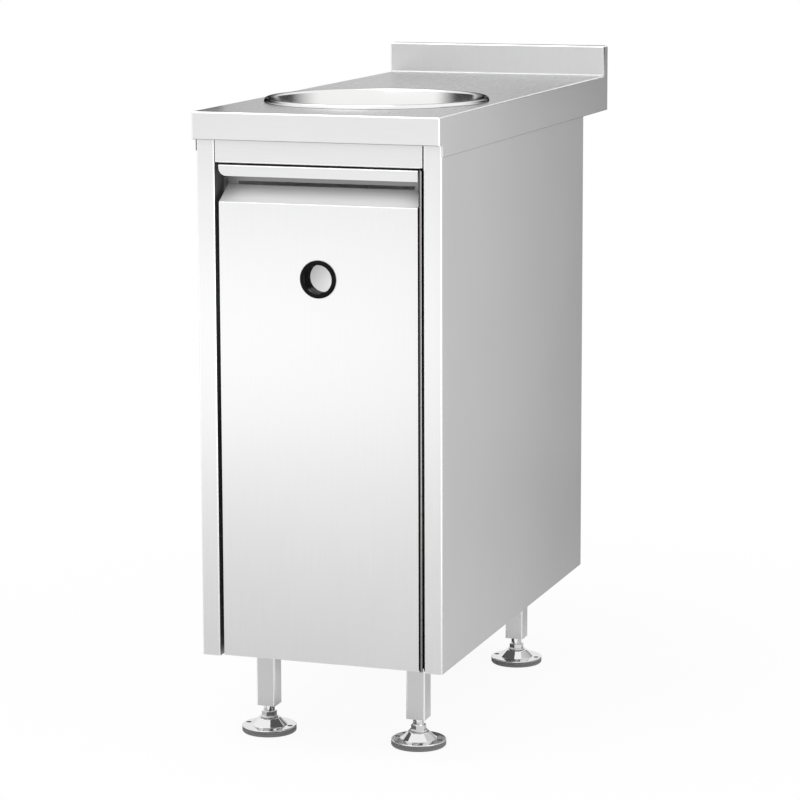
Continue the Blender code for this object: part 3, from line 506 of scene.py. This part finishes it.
BLACK = (0.004, 0.004, 0.0042)
black_liner = moulded_plastic("black_moulded_plastic", BLACK, 0.26, 0.04 * MM, 0.08)
black_bore = moulded_plastic("black_glossy_bore", BLACK, 0.14, 0.02 * MM, 0.6)
low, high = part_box("door_port_liner")
port_middle = Vector(((low.x + high.x) / 2, low.y, (low.z + high.z) / 2))
along_port = Matrix.Translation(port_middle) @ Matrix.Rotation(math.pi / 2, 4, "X")
flange_out = (high.x - low.x) / 2
liner_length = high.y - low.y
ridge_step = (liner_length - 2 * RIDGE_MARGIN) / RIDGE_COUNT
ridge_width = RIDGE_SHARE * ridge_step
ridges = []
for count in range(RIDGE_COUNT, 0, -1):
    start = -(RIDGE_MARGIN + ridge_step * count)
    ridges += [(BORE, start), (BORE - RIDGE_HEIGHT, start + ridge_width / 2), (BORE, start + ridge_width)]
liner_section = [
    (BORE, -LEAD_IN),
    (SLEEVE, 0),
    (flange_out - FLANGE_SLOPE_IN, 0),
    (flange_out, -FLANGE_SLOPE_DOWN),
    (flange_out, -FLANGE_THICK),
    (SLEEVE, -FLANGE_THICK),
    (SLEEVE, -liner_length),
    (BORE, -liner_length),
    *ridges,
]
liner = lathe(rounded(liner_section, MOULD_ROUND), Vector(), PORT_STEPS)
bmesh.ops.transform(liner, matrix=along_port, verts=liner.verts)
port = stand_in("door_port_liner_moulding", liner, black_liner, "door_port_liner")
finish_faces(port, black_bore, lambda face: (face.center - port_middle).xz.length < BORE + BORE_ROOM)
low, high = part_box("door_port_nut")
nut_in, nut_out = SLEEVE + NUT_CLEARANCE, (high.x - low.x) / 2
nut_near, nut_far = port_middle.y - low.y, port_middle.y - high.y
nut_section = [(nut_in, nut_near), (nut_out, nut_near), (nut_out, nut_far), (nut_in, nut_far)]
nut = lathe(rounded(nut_section, MOULD_ROUND), Vector(), PORT_STEPS)
bmesh.ops.transform(nut, matrix=along_port, verts=nut.verts)
stand_in("door_port_nut_moulding", nut, black_liner, "door_port_nut")

# The continuous hinge: two steel leaves whose curled knuckles take turns along one long pin. Each leaf
# stands edge-on in the gap beside the door, so only its knuckles show. Their steel is painted light on
# the side facing the front right and dark elsewhere, as painted highlight and painted shade.
KNUCKLE_COUNT = 28
KNUCKLE_RADIUS = 1.95 * MM
KNUCKLE_GAP = 0.4 * MM
KNUCKLE_DEBURR = 0.2 * MM
TUBE_STEPS = 24
LEAF_SHEET, NECK_SHEET = 0.8 * MM, 0.7 * MM
LEAF_SETBACK = 3.4 * MM
STEP_OVERLAP = 0.5 * MM
# The crowns' painted highlight grey, the flanks' painted shade grey, and the side the highlight faces.
CROWN_PAINTED_HIGHLIGHT, FLANK_PAINTED_SHADE = (0.28, 0.28, 0.277), (0.02, 0.02, 0.02)
PAINTED_HIGHLIGHT_SIDE = (0.5, -0.866, 0.0)
PAINTED_HIGHLIGHT_FROM = 0.68
hinge_steel_painted_light = polished_metal("rolled_hinge_steel", CROWN_PAINTED_HIGHLIGHT, 0.17, (900, 900, 40), 0.0)
tree = hinge_steel_painted_light.node_tree
place = tree.nodes.new("ShaderNodeTexCoord")
toward_painted_highlight = tree.nodes.new("ShaderNodeVectorMath")
toward_painted_highlight.operation = "DOT_PRODUCT"
toward_painted_highlight.inputs[1].default_value = PAINTED_HIGHLIGHT_SIDE
wire(tree, place, "Normal", toward_painted_highlight, 0)
# Painted light takes the place of clouds in this steel's tone: painted shade on the flanks and a
# painted highlight on the crowns that face the front right.
tone = tree.nodes["Principled BSDF"].inputs["Base Color"].links[0].from_node
tone.color_ramp.elements[0].color = (*FLANK_PAINTED_SHADE, 1.0)
tree.links.new(ranged(tree, toward_painted_highlight.outputs["Value"], (PAINTED_HIGHLIGHT_FROM, 0), (1, 1)), tone.inputs["Fac"])
hinge_at = Vector(next(joint["pos_m"] for joint in frame["joints"] if joint["name"] == "door_hinge"))


def make_knuckle_tree():
    """A row of knuckles along a leaf: rolled tubes, each with a neck that runs back and steps to the leaf."""
    tree = bpy.data.node_groups.new("hinge_knuckles", "GeometryNodeTree")
    sockets = tree.interface
    for label, kind in (
        ("Count", "NodeSocketInt"),
        ("First", "NodeSocketVector"),
        ("Step", "NodeSocketVector"),
        ("Radius", "NodeSocketFloat"),
        ("Length", "NodeSocketFloat"),
        ("Neck", "NodeSocketVector"),
        ("Neck Place", "NodeSocketVector"),
        ("Step Back", "NodeSocketVector"),
        ("Step Back Place", "NodeSocketVector"),
    ):
        sockets.new_socket(label, in_out="INPUT", socket_type=kind)
    sockets.new_socket("Knuckles", in_out="OUTPUT", socket_type="NodeSocketGeometry")
    inlet = tree.nodes.new("NodeGroupInput")
    outlet = tree.nodes.new("NodeGroupOutput")
    line = tree.nodes.new("GeometryNodeMeshLine")
    line.mode = "OFFSET"
    wire(tree, inlet, "Count", line, "Count")
    wire(tree, inlet, "First", line, "Start Location")
    wire(tree, inlet, "Step", line, "Offset")
    tube = tree.nodes.new("GeometryNodeMeshCylinder")
    tube.inputs["Vertices"].default_value = TUBE_STEPS
    wire(tree, inlet, "Radius", tube, "Radius")
    wire(tree, inlet, "Length", tube, "Depth")
    joined = tree.nodes.new("GeometryNodeJoinGeometry")
    wire(tree, tube, "Mesh", joined, "Geometry")
    for label in ("Neck", "Step Back"):
        bar = tree.nodes.new("GeometryNodeMeshCube")
        wire(tree, inlet, label, bar, "Size")
        moved = tree.nodes.new("GeometryNodeTransform")
        wire(tree, bar, "Mesh", moved, "Geometry")
        wire(tree, inlet, label + " Place", moved, "Translation")
        wire(tree, moved, "Geometry", joined, "Geometry")
    spread = tree.nodes.new("GeometryNodeInstanceOnPoints")
    wire(tree, line, "Mesh", spread, "Points")
    wire(tree, joined, "Geometry", spread, "Instance")
    real = tree.nodes.new("GeometryNodeRealizeInstances")
    wire(tree, spread, "Instances", real, "Geometry")
    painted = tree.nodes.new("GeometryNodeSetMaterial")
    painted.inputs["Material"].default_value = hinge_steel_painted_light
    wire(tree, real, "Geometry", painted, "Geometry")
    wire(tree, painted, "Geometry", outlet, "Knuckles")
    return tree


def grown(tree, **inputs):
    """The plain mesh that a node tree makes from these inputs."""
    holder = bpy.data.objects.new("holder", bpy.data.meshes.new("holder"))
    bpy.context.scene.collection.objects.link(holder)
    modifier = holder.modifiers.new("grow", "NODES")
    modifier.node_group = tree
    names = {item.name.replace(" ", "_").lower(): item.identifier for item in tree.interface.items_tree}
    for label, value in inputs.items():
        modifier[names[label]] = value
    graph = bpy.context.evaluated_depsgraph_get()
    mesh = bpy.data.meshes.new_from_object(holder.evaluated_get(graph))
    bpy.data.objects.remove(holder)
    return mesh


knuckle_tree = make_knuckle_tree()
low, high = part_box("hinge_pin")
pitch = (high.z - low.z) / KNUCKLE_COUNT
knuckle_length = pitch - KNUCKLE_GAP
leaf_start = hinge_at.y + LEAF_SETBACK
neck_end = LEAF_SETBACK + LEAF_SHEET
for node, first, side in (("hinge_door_leaf", 0, -1), ("hinge_frame_leaf", 1, 1)):
    leaf_low, leaf_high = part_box(node)
    leaf_x = leaf_low.x + LEAF_SHEET / 2 if side < 0 else leaf_high.x - LEAF_SHEET / 2
    leaf_aside = leaf_x - hinge_at.x
    neck_aside = side * (KNUCKLE_RADIUS - NECK_SHEET / 2)
    knuckles = grown(
        knuckle_tree,
        count=KNUCKLE_COUNT // 2,
        first=(hinge_at.x, hinge_at.y, low.z + pitch * (first + 0.5)),
        step=(0, 0, 2 * pitch),
        radius=KNUCKLE_RADIUS,
        length=knuckle_length,
        neck=(NECK_SHEET, neck_end, knuckle_length),
        neck_place=(neck_aside, neck_end / 2, 0),
        step_back=(abs(leaf_aside - neck_aside) + STEP_OVERLAP, NECK_SHEET, knuckle_length),
        step_back_place=((neck_aside + leaf_aside) / 2, neck_end - NECK_SHEET / 2, 0),
    )
    bm = bmesh.new()
    bm.from_mesh(knuckles)
    bpy.data.meshes.remove(knuckles)
    leaf = bmesh.ops.create_cube(bm, size=1.0)["verts"]
    bmesh.ops.scale(bm, vec=(LEAF_SHEET, leaf_high.y - leaf_start, high.z - low.z), verts=leaf)
    leaf_middle = Vector((leaf_x, (leaf_start + leaf_high.y) / 2, (low.z + high.z) / 2))
    bmesh.ops.translate(bm, vec=leaf_middle, verts=leaf)
    stand_in(node + "_knuckled", deburr(bm, KNUCKLE_DEBURR), hinge_steel_painted_light, node)
pin_radius = (high.x - low.x) / 2
pin_section = rounded([(0, low.z), (pin_radius, low.z), (pin_radius, high.z), (0, high.z)], SMALL_ROUND)
pin = lathe(pin_section, Vector((hinge_at.x, hinge_at.y, 0)), TUBE_STEPS)
stand_in("hinge_pin_rod", pin, mirror_steel, "hinge_pin")

# The magnetic catch under the rail: a black case held by two screws, its steel strike on the door,
# and two rubber buttons on the floor pan that the closed door rests against.
dark_rubber = moulded_plastic("dark_grey_rubber", (0.085, 0.085, 0.086), 0.62, 0.12 * MM)
dressed("catch_magnet", "case", 0.6 * MM, black_liner)
dressed("catch_strike", "plate", 0.3 * MM, mirror_steel)
for side in ("left", "right"):
    dressed(f"catch_screw_{side}", "turned", 0.25 * MM, mirror_steel)
    dressed(f"door_bumper_{side}", "button", 0.5 * MM, dark_rubber)

# The legs: square stainless tube with rounded corners, each welded to a plate under the floor pan
# and plugged at the foot with a threaded nylon insert.
CORNERS = ("front_left", "front_right", "rear_left", "rear_right")
tube_steel = brushed_sheet("drawn_tube_steel", (900, 900, 20), (0.64, 0.642, 0.64), (0.70, 0.702, 0.70))
grey_nylon = moulded_plastic("grey_nylon", (0.26, 0.26, 0.265), 0.45, 0.06 * MM)
for corner in CORNERS:
    leg = dressed(f"{corner}_leg", "tube", DEBURR, tube_steel)
    # The tube's rounded corners get painted highlight lines.
    finish_faces(leg, painted_highlight_bend, is_bend)
    dressed(f"{corner}_leg_plate", "flat", 0.4 * MM, level_sheet)
    dressed(f"{corner}_leg_insert", "moulding", 0.4 * MM, grey_nylon)

# The feet: a chromed pressed base with two fixing holes, on a moulded rubber sole, and a chromed stem
# with a spanner hexagon and a rolled thread that screws up into the leg.
FOOT_STEPS = 96
SOLE_CHAMFER = 1.4 * MM
GROOVE_TOP, GROOVE_BOTTOM = 4.3 * MM, 3.3 * MM
GROOVE_DEPTH, GROOVE_SLOPE = 0.5 * MM, 0.3 * MM
SOCKET_RADIUS, HUB_RADIUS, DISH_RADIUS = 7.35 * MM, 13.5 * MM, 23 * MM
DISC_THICK, DISC_CHAMFER = 1.5 * MM, 0.75 * MM
PRESSED_ROUND, STEM_DEBURR = 1.2 * MM, 0.35 * MM
FIXING_HOLE_RADIUS = 3.5 * MM
FIXING_HOLE_FROM_CENTRE = 28.3 * MM
DRILL_STEPS = 32
LEG_GAP = 0.3 * MM
SHANK_CUT, THREAD_START = 0.4 * MM, 0.6 * MM
THREAD_PITCH = 1.75 * MM
THREAD_ROOT, THREAD_CREST = 5.1 * MM, 6 * MM
FLANK_STEEPNESS, ROOT_FLAT = 3.2, 0.3
chrome = polished_metal("bright_chrome", (0.88, 0.88, 0.885), 0.045, (500, 500, 500), 0.85)
grey_sole = moulded_plastic("grey_sole_rubber", (0.21, 0.21, 0.212), 0.55, 0.2 * MM)


def drilled(bm, centres, radius, bottom, top):
    """A working mesh with upright holes through it."""
    mesh = bpy.data.meshes.new("undrilled")
    bm.to_mesh(mesh)
    bm.free()
    body = bpy.data.objects.new("undrilled", mesh)
    bpy.context.scene.collection.objects.link(body)
    drills = []
    for centre in centres:
        bit = lathe([(0, bottom), (radius, bottom), (radius, top), (0, top)], centre, DRILL_STEPS)
        bit_mesh = bpy.data.meshes.new("drill")
        bit.to_mesh(bit_mesh)
        bit.free()
        drill = bpy.data.objects.new("drill", bit_mesh)
        bpy.context.scene.collection.objects.link(drill)
        hole = body.modifiers.new("hole", "BOOLEAN")
        hole.object = drill
        drills.append(drill)
    graph = bpy.context.evaluated_depsgraph_get()
    mesh = bpy.data.meshes.new_from_object(body.evaluated_get(graph))
    for used in (body, *drills):
        bpy.data.objects.remove(used)
    bm = bmesh.new()
    bm.from_mesh(mesh)
    bpy.data.meshes.remove(mesh)
    return bm


def add_thread(bm, centre, bottom, top, steps=28, levels=10):
    """A rolled thread between two heights, with a plain run-out and a flat end at each of them."""
    count = int((top - bottom) / THREAD_PITCH * levels)
    rings = []
    for level in range(count + 1):
        z = bottom + (top - bottom) * level / count
        fade = min(1.0, level / levels, (count - level) / levels)
        ring = []
        for step in range(steps):
            phase = (z / THREAD_PITCH - step / steps) % 1.0
            flank = FLANK_STEEPNESS * (0.5 - abs(phase - 0.5)) - ROOT_FLAT
            radius = THREAD_ROOT + (THREAD_CREST - THREAD_ROOT) * min(1.0, max(0.0, flank)) * fade
            turn = math.tau * step / steps
            spot = Vector((radius * math.cos(turn), radius * math.sin(turn), z))
            ring.append(bm.verts.new(centre + spot))
        rings.append(ring)
    for below, above in zip(rings, rings[1:]):
        for step in range(steps):
            after = (step + 1) % steps
            bm.faces.new((below[step], below[after], above[after], above[step]))
    bm.faces.new(list(reversed(rings[0])))
    bm.faces.new(rings[-1])


for corner in CORNERS:
    low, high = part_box(f"{corner}_foot_sole")
    foot_centre = Vector(((low.x + high.x) / 2, (low.y + high.y) / 2, 0))
    sole_out = (high.x - low.x) / 2
    sole_section = [
        (0, high.z),
        (sole_out, high.z),
        (sole_out, GROOVE_TOP),
        (sole_out - GROOVE_DEPTH, GROOVE_TOP - GROOVE_SLOPE),
        (sole_out - GROOVE_DEPTH, GROOVE_BOTTOM + GROOVE_SLOPE),
        (sole_out, GROOVE_BOTTOM),
        (sole_out, SOLE_CHAMFER),
        (sole_out - SOLE_CHAMFER, 0),
        (0, 0),
    ]
    sole = lathe(rounded(sole_section, SMALL_ROUND), foot_centre, FOOT_STEPS)
    stand_in(f"{corner}_foot_sole_rubber", sole, grey_sole, f"{corner}_foot_sole")

    low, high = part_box(f"{corner}_foot_base")
    disc_top = low.z + DISC_THICK
    base_section = [
        (SOCKET_RADIUS, high.z),
        (HUB_RADIUS, high.z),
        (DISH_RADIUS, disc_top),
        (sole_out - DISC_CHAMFER, disc_top),
        (sole_out, disc_top - DISC_CHAMFER),
        (sole_out, low.z),
        (SOCKET_RADIUS, low.z),
    ]
    base = lathe(rounded(base_section, PRESSED_ROUND, steps=6), foot_centre, FOOT_STEPS)
    holes = [foot_centre + Vector((side * FIXING_HOLE_FROM_CENTRE, 0, 0)) for side in (-1, 1)]
    base = drilled(base, holes, FIXING_HOLE_RADIUS, low.z - MM, disc_top + MM)
    stand_in(f"{corner}_foot_base_pressing", base, chrome, f"{corner}_foot_base")

    low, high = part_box(f"{corner}_foot_stem")
    shoulder_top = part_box(f"{corner}_leg")[0].z - LEG_GAP
    stem = whole_copy(f"{corner}_foot_stem")
    shank = bmesh.ops.bisect_plane(
        stem,
        geom=[*stem.verts, *stem.edges, *stem.faces],
        plane_co=(0, 0, shoulder_top - SHANK_CUT),
        plane_no=(0, 0, 1),
        clear_outer=True,
    )
    rim = [edge for edge in shank["geom_cut"] if isinstance(edge, bmesh.types.BMEdge)]
    bmesh.ops.contextual_create(stem, geom=rim)
    deburr(stem, STEM_DEBURR)
    add_thread(stem, foot_centre, shoulder_top - THREAD_START, high.z)
    stand_in(f"{corner}_foot_stem_turned", stem, chrome, f"{corner}_foot_stem")

# The studio: a white room with a small pale floor that keeps the cabinet's shadow. Grey cards, flags
# and one round glow stand about the cabinet and in it, and show only in reflections. Soft lamps light it.
FLOOR_REACH = 1.5
FLOOR_GREY = (0.93, 0.93, 0.93, 1.0)
SHADOW_NEAR, SHADOW_FAR = (0.35, 0.92), (1.2, 1.0)
ROOM_LIGHT = 0.8


def rectangle(x, y, z):
    """The corners of a flat rectangle. Two of its places are (from, to) ranges, and one is a number."""
    if not isinstance(x, tuple):
        return [(x, y[0], z[0]), (x, y[1], z[0]), (x, y[1], z[1]), (x, y[0], z[1])]
    if not isinstance(y, tuple):
        return [(x[0], y, z[0]), (x[1], y, z[0]), (x[1], y, z[1]), (x[0], y, z[1])]
    return [(x[0], y[0], z), (x[1], y[0], z), (x[1], y[1], z), (x[0], y[1], z)]


def flat_stage(name, corners, material):
    """A flat sheet of the studio, which is no part of the cabinet."""
    mesh = bpy.data.meshes.new(name)
    mesh.from_pydata(corners, [], [(0, 1, 2, 3)])
    mesh.materials.append(material)
    sheet = bpy.data.objects.new(name, mesh)
    bpy.context.scene.collection.objects.link(sheet)
    return sheet


def stage_material(name):
    """A new material with nothing in its tree but the output, and its tree and output."""
    material = bpy.data.materials.new(name)
    material.use_nodes = True
    tree = material.node_tree
    tree.nodes.clear()
    return material, tree, tree.nodes.new("ShaderNodeOutputMaterial")


def distance_from(tree, centre):
    """How far a point of the sheet is from a place."""
    place = tree.nodes.new("ShaderNodeTexCoord")
    away = tree.nodes.new("ShaderNodeVectorMath")
    away.operation = "DISTANCE"
    away.inputs[1].default_value = centre
    wire(tree, place, "Object", away, 0)
    return away.outputs["Value"]


def mix_shaders(tree, share, first, second, surface):
    """Shows the second shader by a share that varies over the sheet, and the first for the rest."""
    mixed = tree.nodes.new("ShaderNodeMixShader")
    tree.links.new(share, mixed.inputs["Fac"])
    tree.links.new(first.outputs["BSDF"], mixed.inputs[1])
    tree.links.new(second.outputs["Emission"], mixed.inputs[2])
    wire(tree, mixed, "Shader", surface, "Surface")


def seen_directly(tree):
    """One for a ray from the camera, off metal or through glass, and nothing for scattered light."""
    rays = tree.nodes.new("ShaderNodeLightPath")
    metal = reckoned(tree, "MAXIMUM", rays.outputs["Is Camera Ray"], rays.outputs["Is Glossy Ray"])
    return reckoned(tree, "MAXIMUM", metal, rays.outputs["Is Transmission Ray"])


paper, tree, surface = stage_material("white_floor")
matt = tree.nodes.new("ShaderNodeBsdfDiffuse")
matt.inputs["Color"].default_value = FLOOR_GREY
glow = tree.nodes.new("ShaderNodeEmission")
fade = ranged(tree, distance_from(tree, (0, 0, 0)), SHADOW_NEAR, SHADOW_FAR, "SMOOTHSTEP")
mix_shaders(tree, reckoned(tree, "MULTIPLY", fade, seen_directly(tree)), matt, glow, surface)
flat_stage("floor", rectangle((-FLOOR_REACH, FLOOR_REACH), (-FLOOR_REACH, FLOOR_REACH), 0), paper)


def mirrored_stage(name, corners, material):
    """A flat sheet of the studio that shows only in reflections."""
    sheet = flat_stage(name, corners, material)
    sheet.visible_camera = False
    sheet.visible_diffuse = False
    sheet.visible_shadow = False


def grey_card(name, corners, axis, near, far):
    """A card whose grey runs along an axis. near and far each hold a place on it and the grey there."""
    material, tree, surface = stage_material(name)
    glow = tree.nodes.new("ShaderNodeEmission")
    place = tree.nodes.new("ShaderNodeTexCoord")
    parts = tree.nodes.new("ShaderNodeSeparateXYZ")
    wire(tree, place, "Object", parts, "Vector")
    tree.links.new(ranged(tree, parts.outputs[axis], near, far), glow.inputs["Strength"])
    wire(tree, glow, "Emission", surface, "Surface")
    mirrored_stage(name, corners, material)


def round_glow(name, centre, even, gone, level, left_end):
    """A glow that faces forward, even out to one radius and gone at another or at a wall on its left."""
    material, tree, surface = stage_material(name)
    clear = tree.nodes.new("ShaderNodeBsdfTransparent")
    glow = tree.nodes.new("ShaderNodeEmission")
    glow.inputs["Strength"].default_value = level
    facing = tree.nodes.new("ShaderNodeNewGeometry")
    front = reckoned(tree, "SUBTRACT", 1.0, facing.outputs["Backfacing"])
    fade = ranged(tree, distance_from(tree, centre), (even, 1), (gone, 0), "SMOOTHSTEP")
    mix_shaders(tree, reckoned(tree, "MULTIPLY", fade, front), clear, glow, surface)
    x, y, z = centre
    mirrored_stage(name, rectangle((left_end, x + gone), y, (z - gone, z + gone)), material)


grey_card("card_beside", rectangle(0.32, (-0.25, 1.6), (-0.2, 0.83)), "Y", (0.085, 0.68), (1.4, 0.09))
grey_card("card_behind_left", rectangle((-1.4, -0.38), 0.8, (0.7, 1.7)), "X", (-0.65, 0.62), (-0.38, 0.78))
grey_card("card_behind_right", rectangle((-0.38, 0.09), 0.8, (0.7, 1.7)), "X", (-0.25, 0.80), (0.05, 0.46))
grey_card("flag_left", rectangle(-0.32, (-0.32, 0.11), (0.81, 0.93)), "Y", (-0.29, 0.92), (-0.12, 0.06))
grey_card("flag_right", rectangle(0.315, (-0.08, 0.80), (0.81, 0.95)), "Y", (-0.06, 0.92), (0.22, 0.06))
# The floor card before the cabinet darkens towards it, as painted shade seen only in reflections.
grey_card("card_before", rectangle((-1.3, 0.9), (-1.9, -0.45), 0.004), "Y", (-1.9, 1.0), (-0.45, 0.68))
grey_card("card_right", rectangle((0.17, 1.2), (-0.3, 1.5), 0.004), "Y", (0.11, 0.57), (1.4, 0.17))

# Dark cards round each foot stand for the floor's shade beside it, as painted shade seen only in reflections.
FOOT_CARD_ROOM, FOOT_CARD_INSET, FOOT_CARD_HEIGHT = 0.065, 0.03, 0.003
for corner, left_grey, right_grey in (
    ("front_left", 0.55, 0.05),
    ("front_right", 0.15, 0.80),
    ("rear_left", 0.55, 0.05),
    ("rear_right", 0.08, 0.80),
):
    low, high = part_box(f"{corner}_foot_sole")
    left, right = low.x - FOOT_CARD_ROOM, high.x + FOOT_CARD_ROOM
    front, back = low.y - FOOT_CARD_ROOM, high.y + FOOT_CARD_ROOM
    grey_card(
        f"card_{corner}_foot",
        rectangle((left, right), (front, back), FOOT_CARD_HEIGHT),
        "X",
        (left + FOOT_CARD_INSET, left_grey),
        (right - FOOT_CARD_INSET, right_grey),
    )

ABOVE_FEET = 0.105
OVER_CARD_REACH = 0.155
for row, front, back, white_end, dark_end in (
    ("front", -0.365, -0.19, -0.078, 0.015),
    ("rear", 0.04, 0.23, -0.10, 0.095),
):
    for part, left, right, grey in (
        ("left", -OVER_CARD_REACH, white_end, 1.0),
        ("middle", white_end, dark_end, 0.10),
        ("right", dark_end, OVER_CARD_REACH, 1.0),
    ):
        card = rectangle((left, right), (front, back), ABOVE_FEET)
        grey_card(f"card_over_{row}_{part}", card, "X", (left, grey), (right, grey))
# A dark card under the cabinet stands for the shade beneath it, as painted shade seen only in reflections.
UNDER_CARD_HEIGHT, UNDER_CARD_FRONT, UNDER_CARD_BACK = 0.0025, -0.28, 0.10
UNDER_CARD_GREY = 0.44
grey_card(
    "card_under",
    [
        (-0.16, UNDER_CARD_FRONT, UNDER_CARD_HEIGHT),
        (-0.086, UNDER_CARD_FRONT, UNDER_CARD_HEIGHT),
        (0.046, UNDER_CARD_BACK, UNDER_CARD_HEIGHT),
        (-0.16, UNDER_CARD_BACK, UNDER_CARD_HEIGHT),
    ],
    "Y",
    (UNDER_CARD_FRONT, UNDER_CARD_GREY),
    (UNDER_CARD_BACK, UNDER_CARD_GREY),
)
round_glow("glow_inside", (-0.107, 0.235, 0.474), even=0.05, gone=0.09, level=1.35, left_end=-0.156)

room = bpy.data.worlds.new("white_room")
bpy.context.scene.world = room
room.use_nodes = True
tree = room.node_tree
tree.nodes.clear()
outlet = tree.nodes.new("ShaderNodeOutputWorld")
white = tree.nodes.new("ShaderNodeBackground")
white.inputs["Color"].default_value = (1.0, 1.0, 1.0, 1.0)
tree.links.new(ranged(tree, seen_directly(tree), (0, ROOM_LIGHT), (1, 1.0)), white.inputs["Strength"])
wire(tree, white, "Background", outlet, "Surface")


def soft_lamp(name, place, target, width, height, power):
    """A rectangular softbox that faces a point."""
    light = bpy.data.lights.new(name, "AREA")
    light.shape = "RECTANGLE"
    light.size, light.size_y = width, height
    light.energy = power
    lamp = bpy.data.objects.new(name, light)
    lamp.location = place
    lamp.rotation_euler = (Vector(target) - Vector(place)).to_track_quat("-Z", "Y").to_euler()
    lamp.visible_camera = False
    bpy.context.scene.collection.objects.link(lamp)


soft_lamp("lamp_over", (-0.45, -0.55, 2.4), (0, -0.1, 0.6), 1.6, 1.6, 12)
soft_lamp("lamp_right", (1.35, -0.8, 0.30), (0.1, -0.3, 0.35), 0.8, 0.95, 3.8)
soft_lamp("lamp_low_left", (-0.36, -1.05, 0.40), (-0.05, -0.37, 0.42), 0.8, 0.35, 0.42)
soft_lamp("lamp_front", (-0.3, -1.7, 1.75), (0, -0.35, 0.70), 1.2, 0.5, 2.2)
soft_lamp("lamp_grip", (0.0, -0.3605, 0.7195), (0.0, -0.345, 0.700), 0.24, 0.012, 0.017)

# The camera stands a little to the right of the cabinet, well back and above its worktop, with a long
# lens. A small shift of the lens brings the cabinet's uprights nearer to parallel.
CAMERA_PLACE = (1.2908, -3.7936, 1.1003)
YAW, PITCH, ROLL = math.radians(19.090), math.radians(8.887), math.radians(0.183)
LENS_MM, SENSOR_MM = 136.53, 36.0
LENS_SHIFT = -0.08
ahead = Vector((-math.sin(YAW) * math.cos(PITCH), math.cos(YAW) * math.cos(PITCH), -math.sin(PITCH)))
right = Vector((math.cos(YAW), math.sin(YAW), 0))
down = ahead.cross(right)
level_right = math.cos(ROLL) * right + math.sin(ROLL) * down
level_down = math.cos(ROLL) * down - math.sin(ROLL) * right
axes = Matrix((level_right, -level_down, -ahead)).transposed()
lens = bpy.data.cameras.new("camera")
lens.sensor_width = SENSOR_MM
lens.lens = LENS_MM
lens.shift_y = LENS_SHIFT
camera = bpy.data.objects.new("camera", lens)
camera.matrix_world = Matrix.Translation(CAMERA_PLACE) @ axes.to_4x4()
bpy.context.scene.collection.objects.link(camera)
bpy.context.scene.camera = camera
bpy.context.scene.view_settings.view_transform = "Standard"
